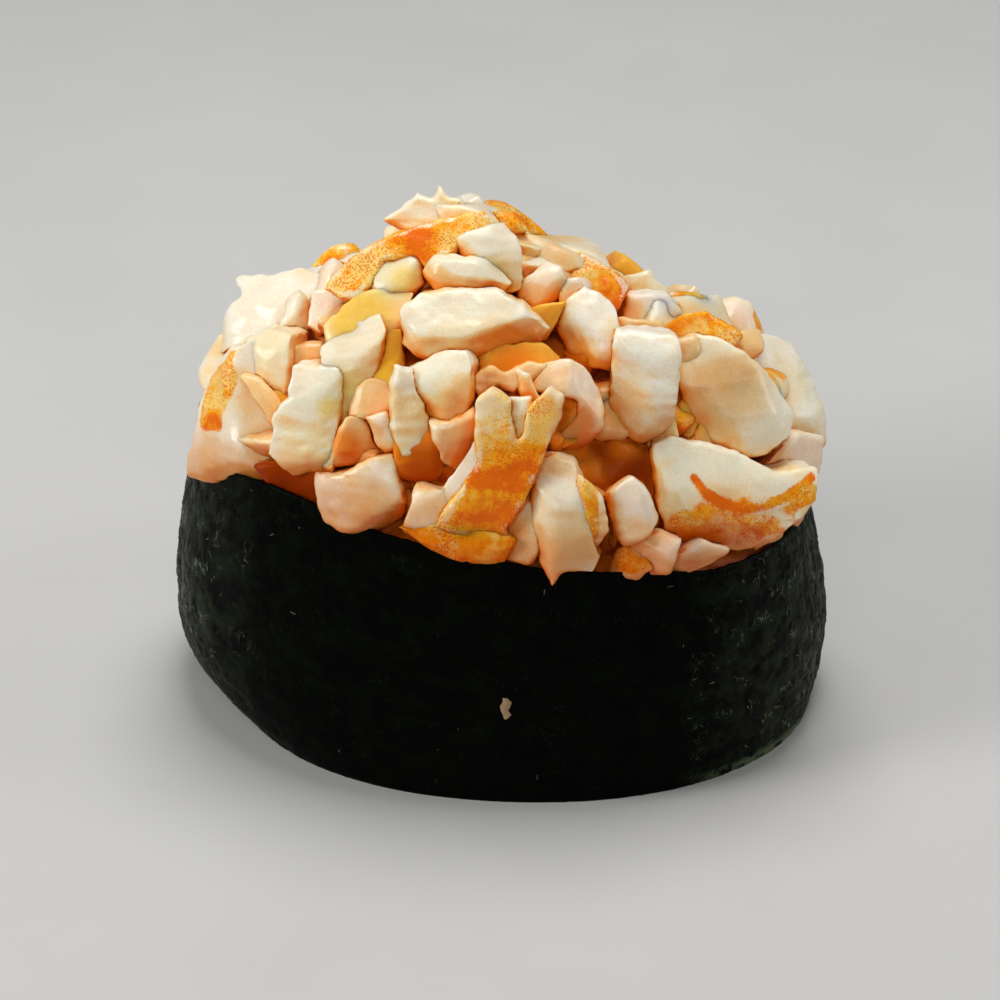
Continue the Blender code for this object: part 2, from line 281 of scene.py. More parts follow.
def planNormal(angle):
    along = planPoint(angle + 0.01) - planPoint(angle - 0.01)
    return Vector((along.y, -along.x)).normalized()


def rimHeight(angle):
    point = planPoint(angle)
    end = point.x / bandShape["halfLength"]
    wave = bandShape["rimWave"] * (math.sin(5 * angle + 0.6) + 0.6 * math.sin(11 * angle))
    slope = bandShape["rimSlope"] * end + bandShape["endDrop"] * max(0.0, -end) ** 4
    back = bandShape["backRise"] * point.y / bandShape["halfWidth"]
    return bandShape["stripHeight"] - slope + back + wave


def wallPoint(angle, height, inset):
    # a point on the strip's outer face at a height, moved inwards by inset
    plan = planPoint(angle)
    belly, widest = bandShape["bellyLevel"], bandShape["bellyScale"]
    level = height / rimHeight(angle)
    left = max(0.0, -plan.x / bandShape["halfLength"])
    if level > belly:
        scale = widest - (widest - bandShape["rimScale"]) * ((level - belly) / (1 - belly)) ** 2
    else:
        foot = bandShape["footScale"] - bandShape["footTuck"] * left ** 2
        scale = widest - (widest - foot) * ((belly - level) / belly) ** 2
    flat = plan * scale - planNormal(angle) * inset
    return Vector((flat.x, flat.y, height))


def heapPoint(around, climb):
    # degrees round the heap, degrees up it from the rim
    angle, rise = math.radians(around), math.radians(climb)
    spread = math.cos(rise) ** (2 / heapShape["power"])
    lift = math.sin(rise)
    plan = planPoint(angle) * heapShape["plan"]
    end = plan.x / bandShape["halfLength"]
    bulge = max(0.0, math.sin(2 * rise)) ** 0.7
    shoulder = heapShape["shoulder"]
    swell = 1 + (shoulder * max(0.0, end) + shoulder / 4 * max(0.0, -end)) * bulge
    x, y = plan.x * spread * swell, plan.y * spread * swell
    edge = spread ** 3
    base = rimHeight(angle) * edge + bandShape["stripHeight"] * (1 - edge) - 0.5
    away = (((x - heapShape["peakAt"][0]) / heapShape["peakSpread"][0]) ** 2
            + ((y - heapShape["peakAt"][1]) / heapShape["peakSpread"][1]) ** 2)
    top = (heapShape["rise"] + heapShape["slope"] * x / bandShape["halfLength"]
           + heapShape["peakRise"] * math.exp(-away))
    return Vector((x - heapShape["lean"] * lift, y, base + top * lift))


def shrunk(ring, share, height):
    # a ring drawn in towards the middle, at one height
    return [Vector((p.x * share, p.y * share, height)) for p in ring]


def ringMesh(rings):
    # joins closed rings of points, bottom to top, with faces looking outwards
    shape = bmesh.new()
    made = [[shape.verts.new(point) for point in ring] for ring in rings]
    count = len(rings[0])
    for low, high in zip(made, made[1:]):
        for step in range(count):
            after = (step + 1) % count
            shape.faces.new((low[step], low[after], high[after], high[step]))
    for ring, points, upward in ((made[0], rings[0], False), (made[-1], rings[-1], True)):
        middle = shape.verts.new(sum(points, Vector((0, 0, 0))) / count)
        for step in range(count):
            pair = (ring[step], ring[(step + 1) % count])
            shape.faces.new((*(pair if upward else pair[::-1]), middle))
    mesh = bpy.data.meshes.new("rings")
    shape.to_mesh(mesh)
    shape.free()
    return mesh


# ---- materials

def newMaterial(name):
    material = bpy.data.materials.new(name)
    material.use_nodes = True
    tree = material.node_tree
    return material, tree, tree.nodes["Principled BSDF"]


def objectPlace(tree):
    return addNode(tree, "ShaderNodeTexCoord").outputs["Object"]


def scaledSpot(tree, spot, scale, stretch=(1, 1, 1), turn=0.0):
    feeds = {"Vector": spot, "Scale": [scale * s for s in stretch], "Rotation": (0, 0, turn)}
    return addNode(tree, "ShaderNodeMapping", feeds).outputs[0]


def objectSpot(tree, scale, stretch=(1, 1, 1)):
    return scaledSpot(tree, objectPlace(tree), scale, stretch)


def noiseAt(tree, vector, detail, roughness=0.5, scale=1.0, distortion=0.0):
    feeds = {"Vector": vector, "Scale": scale, "Detail": detail, "Roughness": roughness,
             "Distortion": distortion}
    return treeValue(tree, addNode(tree, "ShaderNodeTexNoise", feeds).outputs[0])


def attributeOf(tree, name):
    return treeValue(tree, addNode(tree, "ShaderNodeAttribute", attribute_name=name).outputs["Fac"])


def blendColour(tree, share, low, high, how="MIX"):
    feeds = {0: share, 6: low, 7: high}
    return addNode(tree, "ShaderNodeMix", feeds, data_type="RGBA", blend_type=how).outputs[2]


def dress(tree, shader, **feeds):
    # shader inputs by name, with its spaces left out
    sockets = {socket.name.replace(" ", ""): socket for socket in shader.inputs}
    for name, value in feeds.items():
        plug(tree, value, sockets[name])


def addBump(tree, shader, height, strength, distance):
    feeds = {"Height": height, "Strength": strength, "Distance": distance * mm}
    dress(tree, shader, Normal=addNode(tree, "ShaderNodeBump", feeds).outputs[0])


meatLook = {
    # the next five colours are painted shade, for faces that look down, meat that lies low and the
    # gaps
    "creamy": srgb(255, 232, 188),
    "warm": srgb(254, 192, 98),
    "gap": srgb(232, 128, 22),
    "deep": srgb(140, 46, 4),
    "below": srgb(220, 158, 92),
    "pale": (srgb(250, 242, 230), srgb(255, 254, 250)),
    "skinLight": srgb(255, 210, 116),
    "skinColour": srgb(255, 170, 26),
    "skinDark": srgb(240, 118, 12),
    "dotColour": srgb(228, 108, 12),
    "mottle": 380,          # how often each pattern repeats in a metre
    "grain": 5200,
    "wide": 240,
    "patch": 420,
    "dots": 4600,
    "dotSpread": 300,
    "fibre": 2300,
    "fibreStretch": (0.3, 1, 0.6),
    "roughness": 0.36,
    "specular": 0.4,
    "subsurface": 0.7,
    "radius": (1.0, 0.84, 0.66),
    "radiusScale": 1.0 * mm,
    "coat": 0.3,
    "coatInGaps": 0.04,
    "coatRoughness": 0.1,
    "relief": (0.46, 0.09),
}


def makeMeatMaterial():
    # tone, skin, ripe, cavity, upward and low are attributes of each chopped piece
    look = meatLook
    material, tree, shader = newMaterial("shellfishMeat")
    tone = addNode(tree, "ShaderNodeAttribute", attribute_name="tone").outputs["Color"]
    skin, ripe, cavity, upward, low = [
        attributeOf(tree, name) for name in ("skin", "ripe", "cavity", "upward", "low")]
    mottle = noiseAt(tree, objectSpot(tree, look["mottle"]), 3.0, 0.6)
    grain = noiseAt(tree, objectSpot(tree, look["grain"]), 1.0, 0.7)
    shade = (mapRange(tree, mottle, 0.3, 0.7, -0.35, 0.35)
             + mapRange(tree, grain, 0.3, 0.7, -0.45, 0.45))
    pale = blendColour(tree, mapRange(tree, shade, -0.6, 0.6), *look["pale"])
    meat = blendColour(tree, 1.0, tone, pale, "MULTIPLY")

    # painted warm shade: faces that look down, and the gaps, are tinted warm for the shade they lie
    # in and for light glowing through the meat
    paintedWarmShade = mapRange(tree, upward, 0.8, -0.3, 0.0, 0.42) + cavity * 0.8
    endward = abs(splitXYZ(tree, objectPlace(tree))[0] - 2 * mm)
    paintedWarmShade = paintedWarmShade * mapRange(tree, endward, 10 * mm, 24 * mm, 1.0, 0.55)
    wide = noiseAt(tree, objectSpot(tree, look["wide"]), 1.0)
    paintedWarmShade = paintedWarmShade + mapRange(tree, wide, 0.3, 0.7, -0.16, 0.16)
    # meat that is orange already takes less of it
    blue = treeValue(tree, addNode(tree, "ShaderNodeSeparateColor", {0: tone}).outputs[2])
    taken = mapRange(tree, blue, 0.1, 0.6, 0.3, 1.0)

    # skin: orange in patches, with small darker dots
    patch = (noiseAt(tree, objectSpot(tree, look["patch"]), 4.0, 0.7)
             + mapRange(tree, ripe, 0.0, 1.0, -0.12, 0.14))
    orange = blendColour(tree, mapRange(tree, patch, 0.36, 0.5), look["skinLight"],
                         look["skinColour"])
    orange = blendColour(tree, mapRange(tree, patch, 0.5, 0.66), orange, look["skinDark"])
    cells = addNode(tree, "ShaderNodeTexVoronoi", {"Vector": objectSpot(tree, look["dots"]),
                                                   "Scale": 1.0, "Randomness": 0.95})
    spread = noiseAt(tree, objectSpot(tree, look["dotSpread"]), 1.0)
    dotSize = mapRange(tree, spread, 0.35, 0.65, 0.26, 0.52)
    dots = mapRange(tree, dotSize - treeValue(tree, cells.outputs["Distance"]), 0.0, 0.14)
    orange = blendColour(tree, dots * 0.75, orange, look["dotColour"])
    edge = (skin + mapRange(tree, mottle, 0.3, 0.7, -0.2, 0.2)
            + mapRange(tree, grain, 0.3, 0.7, -0.12, 0.12))
    covered = mapRange(tree, edge, 0.3, 0.7)
    surface = blendColour(tree, covered, meat, orange)

    taken = taken * mapRange(tree, covered, 0.0, 1.0, 1.0, 0.35)
    for name, start, full in (("creamy", 0.03, 0.36), ("warm", 0.3, 0.74)):
        tinted = blendColour(tree, 1.0, surface, look[name], "MULTIPLY")
        surface = blendColour(tree, mapRange(tree, paintedWarmShade, start, full) * taken, surface, tinted)
    # painted shade: what faces down or lies low is painted darker too
    below = mapRange(tree, upward, 0.25, -0.45, 0.0, 0.8) + low * 0.65
    tinted = blendColour(tree, 1.0, surface, look["below"], "MULTIPLY")
    surface = blendColour(tree, calc(tree, "MINIMUM", below, 1.0), surface, tinted)
    # painted shade: the gaps are painted orange, and the deepest of them dark brown
    for name, start, full, most in (("gap", 0.5, 0.9, 0.78), ("deep", 0.72, 0.95, 0.85)):
        share = mapRange(tree, cavity, start, full, 0.0, most)
        surface = blendColour(tree, share, surface, look[name])
    # what shines is tinted where the meat is orange or lies deep
    shaded = calc(tree, "MAXIMUM", covered * 0.8, mapRange(tree, blue, 0.02, 0.4, 1.0, 0.0))
    shaded = calc(tree, "MAXIMUM", mapRange(tree, cavity, 0.2, 0.7), shaded)
    dress(tree, shader, BaseColor=surface, SpecularIORLevel=look["specular"],
          Roughness=mapRange(tree, mottle, 0.3, 0.7, look["roughness"] - 0.08,
                             look["roughness"] + 0.12),
          SubsurfaceWeight=look["subsurface"], SubsurfaceRadius=look["radius"],
          SubsurfaceScale=look["radiusScale"], CoatRoughness=look["coatRoughness"],
          SpecularTint=blendColour(tree, shaded, (1, 1, 1, 1), surface),
          CoatWeight=mapRange(tree, shaded, 0.0, 1.0, look["coat"], look["coatInGaps"]))
    fibre = noiseAt(tree, objectSpot(tree, look["fibre"], look["fibreStretch"]), 3.0, 0.7)
    addBump(tree, shader, fibre, *look["relief"])
    return material


noriLook = {
    "dark": srgb(2, 3, 2),
    "green": srgb(7, 11, 5),
    # painted sheen for the two ends
    "rubbed": srgb(30, 38, 22),
    "fibre": srgb(104, 110, 80),
    "glint": srgb(142, 158, 118),
    "rubbedFrom": 17 * mm,
    "rubbedTo": 29 * mm,
    "cloud": 380,           # how often each pattern repeats in a metre
    "mat": 900,
    "crossed": 800,
    "crinkle": 820,
    "crinklePlace": 420,
    "crinkleWidth": 0.018,
    "roughness": 0.4,
    "specular": 0.02,
    "coatRoughness": 0.25,
    "coatTint": srgb(200, 220, 180),
    "relief": (0.6, 0.16),
}


def makeNoriMaterial():
    # the strip's own UV map runs along it in U and up it in V, in metres
    look = noriLook
    material, tree, shader = newMaterial("pressedSeaweed")
    strip = addNode(tree, "ShaderNodeUVMap", uv_map="strip").outputs[0]

    def along(name, *turned):
        return scaledSpot(tree, strip, look[name], *turned)

    cloud = noiseAt(tree, along("cloud"), 4.0, 0.65)
    mat = noiseAt(tree, along("mat", (1, 0.35, 1), 0.5), 4.0, 0.7)
    crossed = noiseAt(tree, along("crossed", (0.3, 1, 1), -0.6), 4.0, 0.7)
    web = calc(tree, "MAXIMUM", mat, crossed)
    # painted sheen: the two ends are painted paler and greener than the flat sides
    across = splitXYZ(tree, objectPlace(tree))[0]
    rubbed = mapRange(tree, abs(across), look["rubbedFrom"], look["rubbedTo"])
    colour = blendColour(tree, mapRange(tree, cloud, 0.35, 0.7), look["dark"], look["green"])
    colour = blendColour(tree, rubbed * mapRange(tree, cloud, 0.42, 0.62), colour, look["rubbed"])
    # the fibres are the sheet's own; they show most at the ends, where the sheen is painted
    strands = mapRange(tree, web, 0.66, 0.76) * (rubbed * 0.5 + 0.04)
    colour = blendColour(tree, strands, colour, look["fibre"])

    # crinkles: thin lines where a noise crosses its middle value, bumped a little and painted
    # bright as glints
    crinkle = noiseAt(tree, along("crinkle", (1, 0.6, 1)), 3.0, 0.6)
    line = mapRange(tree, abs(crinkle - 0.5), 0.0, look["crinkleWidth"], 1.0, 0.0)
    place = mapRange(tree, noiseAt(tree, along("crinklePlace"), 2.0), 0.54, 0.68)
    # a painted highlight along the foot near the right end
    footHighlight = (mapRange(tree, splitXYZ(tree, strip)[1], 1.8 * mm, 0.5 * mm)
            * mapRange(tree, across, 19 * mm, 24 * mm)
            * mapRange(tree, cloud, 0.42, 0.55, 0.0, 0.6))
    glint = calc(tree, "MAXIMUM", line * place * (rubbed + 0.03), footHighlight)
    # painted glints and highlight: the lines and the foot are painted pale
    colour = blendColour(tree, glint * 0.7, colour, look["glint"])
    dress(tree, shader, BaseColor=colour, SpecularIORLevel=look["specular"],
          Roughness=mapRange(tree, web, 0.4, 0.72, look["roughness"] + 0.14,
                             look["roughness"] - 0.16),
          CoatWeight=rubbed * 0.1 + glint * 0.5, CoatRoughness=look["coatRoughness"],
          CoatTint=look["coatTint"])
    addBump(tree, shader, cloud * 0.8 + web + line * 0.25, *look["relief"])
    return material


def makeFleckMaterial(name, low, high):
    material, tree, shader = newMaterial(name)
    tint = noiseAt(tree, objectSpot(tree, 300), 1.0)
    dress(tree, shader, BaseColor=blendColour(tree, mapRange(tree, tint, 0.4, 0.6), low, high),
          Roughness=0.5)
    return material


riceLook = {
    "low": srgb(236, 230, 212),
    "high": srgb(248, 246, 238),
    "tint": 500,            # how often each pattern repeats in a metre
    "grain": 2500,
    "roughness": 0.42,
    "subsurface": 0.35,
    "radius": (1.0, 0.75, 0.5),
    "radiusScale": 1.2 * mm,
    "relief": (0.2, 0.1),
}


def makeRiceMaterial():
    look = riceLook
    material, tree, shader = newMaterial("cookedRice")
    tint = mapRange(tree, noiseAt(tree, objectSpot(tree, look["tint"]), 2.0), 0.35, 0.65)
    dress(tree, shader, BaseColor=blendColour(tree, tint, look["low"], look["high"]),
          Roughness=look["roughness"], SubsurfaceWeight=look["subsurface"],
          SubsurfaceRadius=look["radius"], SubsurfaceScale=look["radiusScale"])
    addBump(tree, shader, noiseAt(tree, objectSpot(tree, look["grain"]), 2.0), *look["relief"])
    return material


meatMaterial = makeMeatMaterial()
noriMaterial = makeNoriMaterial()
fleckMaterial = makeFleckMaterial("seaweedFleck", srgb(40, 52, 30), srgb(96, 88, 62))
huskMaterial = makeFleckMaterial("seaweedHusk", srgb(120, 92, 62), srgb(158, 128, 92))
riceMaterial = makeRiceMaterial()
print("materials made")


# ---- the strip of seaweed

def makeNoriTree():
    # a flat grid is wrapped into the strip: X runs round it and Y up it
    inputs = {name: ("NodeSocketFloat", value) for name, value in bandShape.items()}
    for name in ("stepsRound", "stepsUp"):
        inputs[name] = ("NodeSocketInt", bandShape[name])
    inputs["material"] = ("NodeSocketMaterial", None)
    tree, g = newGeometryTree("noriBandTree", inputs)

    def m(operation, *values):
        return calc(tree, operation, *values)

    grid = addNode(tree, "GeometryNodeMeshGrid", {"Size X": 1.0, "Size Y": 1.0,
                                                  "Vertices X": g["stepsRound"],
                                                  "Vertices Y": g["stepsUp"]})
    x, y, _ = splitXYZ(tree, position(tree))
    travel = (x + 0.5) * (g["overlap"] + 360.0)
    level = y + 0.5
    angle = (travel + g["innerEnd"]) * (math.pi / 180)
    power = 2.0 / g["planPower"]
    sides, plan, normal = [], [], []
    for trig, half in (("COSINE", "halfLength"), ("SINE", "halfWidth")):
        wave = m(trig, angle)
        side = m("SIGN", wave)
        sides.append(side * abs(wave) ** power)
        plan.append(sides[-1] * g[half])
        normal.append(side * abs(wave) ** (power * (g["planPower"] - 1.0)) / g[half])
    end, back = sides
    left = m("MAXIMUM", end * -1.0, 0.0)
    wave = m("SINE", angle * 5.0 + 0.6) + m("SINE", angle * 11.0) * 0.6
    rim = g["stripHeight"] - g["rimSlope"] * end - g["endDrop"] * left ** 4.0
    rim = rim + g["backRise"] * back + g["rimWave"] * wave
    nick = addNode(tree, "ShaderNodeTexNoise", {"W": travel * 0.5, "Scale": 1.0, "Detail": 4.0},
                   noise_dimensions="1D").outputs[0]
    nick = (treeValue(tree, nick) - 0.5) * (g["nickHeight"] * 2.0)
    height = (rim + nick) * level

    up = m("MAXIMUM", level - g["bellyLevel"], 0.0) / (1.0 - g["bellyLevel"])
    down = m("MAXIMUM", g["bellyLevel"] - level, 0.0) / g["bellyLevel"]
    foot = g["footScale"] - g["footTuck"] * left ** 2.0
    scale = (g["bellyScale"] - (g["bellyScale"] - g["rimScale"]) * up ** 2.0
             - (g["bellyScale"] - foot) * down ** 2.0)

    # the first turn is tucked under the lap; ripples and creases grow towards the ends
    tuck = mapRange(tree, travel, g["overlap"], g["overlap"] + g["ease"],
                    g["thickness"] + g["lapGap"], 0.0)
    spot = joinXYZ(tree, *plan, height)
    endward = abs(end) ** 3.0
    held = m("SINE", m("MINIMUM", level, 1.0) * math.pi)
    wrinkle = noiseAt(tree, spot, 3.0, 0.55, 1.0 / g["rippleSize"])
    ripple = (wrinkle - 0.5) * (g["rippleHeight"] * (endward + 0.3) * (held * 0.75 + 0.25))
    crease = noiseAt(tree, spot, 5.0, 0.6, 1.0 / g["creaseSize"], 0.6)
    folded = abs(crease - 0.5) * g["creaseHeight"] * (endward + 0.12)
    shift = ripple - folded - tuck
    outward = addNode(tree, "ShaderNodeVectorMath", {0: joinXYZ(tree, *normal)},
                      operation="NORMALIZE").outputs[0]
    flat = [(across * scale + out * shift) * mm
            for across, out in zip(plan, splitXYZ(tree, outward))]
    # UV first, while the grid is still flat
    store = addNode(tree, "GeometryNodeStoreNamedAttribute",
                    {"Geometry": grid.outputs[0], "Name": "strip",
                     "Value": joinXYZ(tree, travel * (0.45 * mm), level * (25.0 * mm))},
                    data_type="FLOAT2", domain="CORNER")
    wrapped = addNode(tree, "GeometryNodeSetPosition",
                      {"Geometry": store.outputs[0], "Position": joinXYZ(tree, *flat, height * mm)})
    soft = addNode(tree, "GeometryNodeSetShadeSmooth", {0: wrapped.outputs[0]})
    real = addNode(tree, "GeometryNodeRealizeInstances", {0: soft.outputs[0]})
    return endTree(tree, g, real.outputs[0])


noriSkin = runGeometry("noriBand", makeNoriTree(), material=noriMaterial)
noriWall = evaluated(noriSkin.copy(), "SOLIDIFY", thickness=bandShape["thickness"] * mm,
                     offset=-1.0)
putPiece("noriBand", noriWall, "nori_band")

huskShape = {
    "around": -83.0,
    "height": 10.2,
    "proud": 0.12,
    "half": [0.12, 0.34, 0.3, 0.42, 0.36, 0.16],
    "step": 0.42,
    "wave": 0.12,
    "turn": 2.0,
}


def makeHusk():
    # a pale scrap pressed on the strip's front, edge to edge on its surface
    shape = bmesh.new()
    rows = []
    for index, half in enumerate(huskShape["half"]):
        height = huskShape["height"] + (index - 2.5) * huskShape["step"]
        wave = huskShape["wave"] * math.sin(2 * index)
        row = []
        for side in (-1, 0, 1):
            turn = math.radians(huskShape["around"] + (side * half + wave) * huskShape["turn"])
            proud = huskShape["proud"] * (1 if side == 0 else 0.4)
            row.append(shape.verts.new(wallPoint(turn, height, -proud) * mm))
        rows.append(row)
    for low, high in zip(rows, rows[1:]):
        for side in (0, 1):
            shape.faces.new((low[side], low[side + 1], high[side + 1], high[side]))
    mesh = bpy.data.meshes.new("noriHusk")
    shape.to_mesh(mesh)
    shape.free()
    mesh.materials.append(huskMaterial)
    return mesh


putPiece("noriHusk", makeHusk(), "nori_band")
print("seaweed strip:", len(noriWall.vertices), "points")


def makeFleckTree():
    # slivers of fibre pressed into the strip's face, most of them at its ends
    tree, g = newGeometryTree("noriFleckTree", namedInputs("density", "length", "width"))
    x, _, z = splitXYZ(tree, position(tree))
    density = g["density"] * ((abs(x) / (29 * mm)) ** 4.0 + 0.06)
    density = density * calc(tree, "GREATER_THAN", z, 0.8 * mm)
    points = scatterPoints(tree, g, {"Density": density})
    sliver = addNode(tree, "GeometryNodeMeshCube", {"Size": (1.0, 1.0, 0.25)})
    longer = randomSize(tree, g, 0.3, 1.0) ** 2.0 * g["length"]
    strewn = strewOn(tree, g, points, points.outputs["Points"], sliver.outputs["Mesh"],
                     (0, 0, 0), (0, 0, 2 * math.pi),
                     joinXYZ(tree, longer, g["width"], g["width"] * 0.6))
    return endTree(tree, g, strewn)


fleckShape = {"density": 90000.0, "length": 0.8 * mm, "width": 0.09 * mm, "seed": 5}
fleckMesh = runGeometry("noriFlecks", makeFleckTree(), start=noriSkin.copy(),
                        material=fleckMaterial, **fleckShape)
putPiece("noriFlecks", fleckMesh, "nori_band")
print("flecks:", len(fleckMesh.polygons), "faces")


# ---- the rice

riceShape = {
    "top": 13.0,
    "crown": 1.5,
    "wallGap": 1.5,         # from the strip's inner face to the middle of the outer grains
    "grainLength": 5.4,
    "grainWidth": 2.2,
    "grainGap": 2.5,
    "steps": 96,
    "seed": 3,
}


def innerGap(angle):
    # how far the strip's tucked end stands in, near the lap
    turn = (math.degrees(angle) - bandShape["innerEnd"]) % 360
    before = 360 - turn
    if before < bandShape["ease"]:
        turn = bandShape["overlap"] + max(0.0, before - bandShape["ease"] / 4)
    under = 1 - float(smoothStep((turn - bandShape["overlap"]) / bandShape["ease"]))
    return bandShape["thickness"] + (bandShape["thickness"] + bandShape["lapGap"]) * under


def makeRiceCore():
    rings = []
    steps = riceShape["steps"]
    angles = [2 * math.pi * step / steps for step in range(steps)]

    def ringAt(height):
        return [wallPoint(a, height, innerGap(a) + riceShape["wallGap"]) for a in angles]

    low = riceShape["grainWidth"] / 2
    for share in (0.35, 0.7, 1.0):
        rings.append(shrunk(ringAt(low), share, low))
    for height in (4.0, 7.0, 10.0, riceShape["top"]):
        rings.append(ringAt(height))
    for share in (0.8, 0.5, 0.2):
        crown = riceShape["crown"] * (1 - share ** 2)
        rings.append(shrunk(rings[5], share, riceShape["top"] + crown))
    mesh = ringMesh([[p * mm for p in ring] for ring in rings])
    mesh.shade_smooth()
    mesh.materials.append(riceMaterial)
    return mesh


def makeGrainTree():
    tree, g = newGeometryTree("riceGrainTree", namedInputs("gap", "length", "width"))
    points = scatterPoints(tree, g, {"Distance Min": g["gap"], "Density Max": 900000.0},
                           distribute_method="POISSON")
    grain = addNode(tree, "GeometryNodeMeshUVSphere",
                    {"Segments": 10, "Rings": 7, "Radius": 0.5})
    rounded = addNode(tree, "GeometryNodeSetShadeSmooth", {0: grain.outputs["Mesh"]})
    change = randomSize(tree, g, 0.82, 1.08)
    strewn = strewOn(tree, g, points, points.outputs["Points"], rounded.outputs[0],
                     (-0.12, -0.12, 0), (0.12, 0.12, 2 * math.pi),
                     joinXYZ(tree, change * g["length"], change * g["width"], g["width"] * 0.95))
    # grains under the sushi are pressed flat where they stand
    x, y, z = splitXYZ(tree, position(tree))
    pressed = addNode(tree, "GeometryNodeSetPosition",
                      {"Geometry": strewn,
                       "Position": joinXYZ(tree, x, y, calc(tree, "MAXIMUM", z, 0.02 * mm))})
    return endTree(tree, g, pressed.outputs[0])


riceCore = putPiece("riceCore", makeRiceCore(), "rice_base")
grainMesh = runGeometry("riceGrains", makeGrainTree(), start=riceCore.data.copy(),
                        gap=riceShape["grainGap"] * mm, length=riceShape["grainLength"] * mm,
                        width=riceShape["grainWidth"] * mm, seed=riceShape["seed"],
                        material=riceMaterial)
putPiece("riceGrains", grainMesh, "rice_base")
print("rice grains:", len(grainMesh.polygons), "faces")


# ---- the chopped shellfish

tones = {
    "white": srgb(252, 242, 223),
    "cool": srgb(249, 244, 232),
    "cream": srgb(253, 235, 198),
    "yellow": srgb(255, 222, 122),
    "pink": srgb(254, 228, 208),
    "lilac": srgb(251, 236, 223),
    "tan": srgb(250, 210, 148),
    "gold": srgb(254, 202, 66),
    "amber": srgb(255, 190, 76),
    "orange": srgb(248, 146, 36),
    "deep": srgb(190, 84, 12),
}

chopShape = {
    "edge": 0.18,           # mm, how far the cut edges are rounded off
    "grow": 0.35,           # mm, pieces are pressed together
    "lump": (3.4, 0.28),    # mm, the size and the height of each unevenness
    "chip": (1.2, 0.07),
    "ragged": (0.7, 0.07),
    "fibre": (0.55, 0.05),
    "fibreStretch": 0.22,
    "heart": 0.85,          # how strongly each tint covers
    "stripe": 0.85,
    "thinWhite": 0.5,
    "wear": (1.6, 0.3),
    "torn": 0.1,
    "tearStep": 0.55,
    "thinEdge": 1.1,
    "ridge": 0.22,          # mm, how soft the ridges between facets are
    "skinDepth": 1.2,
}


def insetCorners(outline, distance):
    count = len(outline)
    moved = []
    for step, here in enumerate(outline):
        into = (here - outline[step - 1]).normalized()
        out = (outline[(step + 1) % count] - here).normalized()
        inward = Vector((-into.y - out.y, into.x + out.x))
        if inward.length < 0.05:
            inward = Vector((-into.y, into.x))
        reach = min(1.6, 1 / max(0.4, inward.length / 2))
        moved.append(here + inward.normalized() * distance * reach)
    return moved


def tornSteps(dice, corners):
    # finer steps along each side, with small jumps, as meat tears
    steps = []
    torn = chopShape["torn"]
    for index, here in enumerate(corners):
        side = (corners[(index + 1) % len(corners)] - here).length
        count = max(1, round(side / chopShape["tearStep"]))
        for part in range(count):
            jump = Vector((dice.uniform(-torn, torn), dice.uniform(-torn, torn)))
            steps.append((index, part / count, jump))
    return steps


def chopBlank(dice, corners, depth, edge, flare):
    # a block cut to an outline, with a crisp front edge
    rings = [(0.6 - flare, -depth), (-flare, -depth * 0.5), (0.0, -edge), (edge * 0.9, 0.0)]
    steps = tornSteps(dice, corners)
    slopeU, slopeV = dice.uniform(-0.1, 0.1), dice.uniform(-0.12, 0.06)
    shape = bmesh.new()
    made = []
    for inset, height in rings:
        moved = insetCorners(corners, inset - chopShape["grow"])
        ring = []
        for index, share, jump in steps:
            spot = moved[index].lerp(moved[(index + 1) % len(moved)], share) + jump
            lift = slopeU * spot.x + slopeV * spot.y + dice.uniform(-0.08, 0.08)
            ring.append(shape.verts.new((spot.x, spot.y, height + lift)))
        made.append(ring)
    count = len(steps)
    for low, high in zip(made, made[1:]):
        for step in range(count):
            after = (step + 1) % count
            shape.faces.new((low[step], low[after], high[after], high[step]))
    for ring, upward in ((made[0], False), (made[-1], True)):
        for triangle in tessellate_polygon([[v.co.xy.to_3d() for v in ring]]):
            corner = [ring[index] for index in triangle]
            face = shape.faces.new(corner)
            face.normal_update()
            if (face.normal.z > 0) != upward:
                face.normal_flip()
    mesh = bpy.data.meshes.new("blank")
    shape.to_mesh(mesh)
    shape.free()
    return mesh


def lineDistance(points, corners):
    # how far each point is, in the broad face, from a bent line
    nearest = np.full(len(points), 99.0)
    flat = points[:, :2]
    for here, after in zip(corners, corners[1:]):
        start, side = np.array(here), np.array(after - here)
        share = np.clip((flat - start) @ side / (side @ side), 0, 1)
        gap = flat - start - share[:, None] * side
        nearest = np.minimum(nearest, np.hypot(gap[:, 0], gap[:, 1]))
    return nearest


def knifeCuts(dice, points, cuts):
    # slices flat facets off the broad face: compass angle, slant and depth of each
    front = points[points[:, 2] > -1.5]
    size = min(np.ptp(front[:, 0]), np.ptp(front[:, 1])) / 5
    if cuts is None:
        start = dice.uniform(0, 360)
        cuts = [(start, dice.uniform(12, 22), dice.uniform(0.5, 0.9) * size)]
        cuts += [(start + 120 * step + dice.uniform(-40, 40), dice.uniform(32, 60),
                  dice.uniform(0.35, 0.9) * size) for step in (1, 2, 3)]
    for angle, slant, depth in cuts:
        turn, lean = math.radians(angle), math.radians(slant)
        facing = np.array([math.sin(lean) * math.cos(turn), math.sin(lean) * math.sin(turn),
                           math.cos(lean)])
        level = (front @ facing).max() - depth
        soft = chopShape["ridge"]
        over = soft * np.logaddexp(0, (points @ facing - level) / soft)
        points -= over[:, None] * facing
    return points


def readPoints(mesh, what="co"):
    values = np.zeros(len(mesh.vertices) * 3, np.float32)
    mesh.vertices.foreach_get(what, values)
    return values.reshape(-1, 3).astype(float)


def noiseField(points, size, offset):
    scaled = points * (1 / size) + offset
    return np.array([noise.noise(Vector(point)) for point in scaled])


def uneven(points, name, offset):
    size, height = chopShape[name]
    return noiseField(points, size, offset) * height


def blend(low, high, share):
    return low * (1 - share) + np.array(high) * share


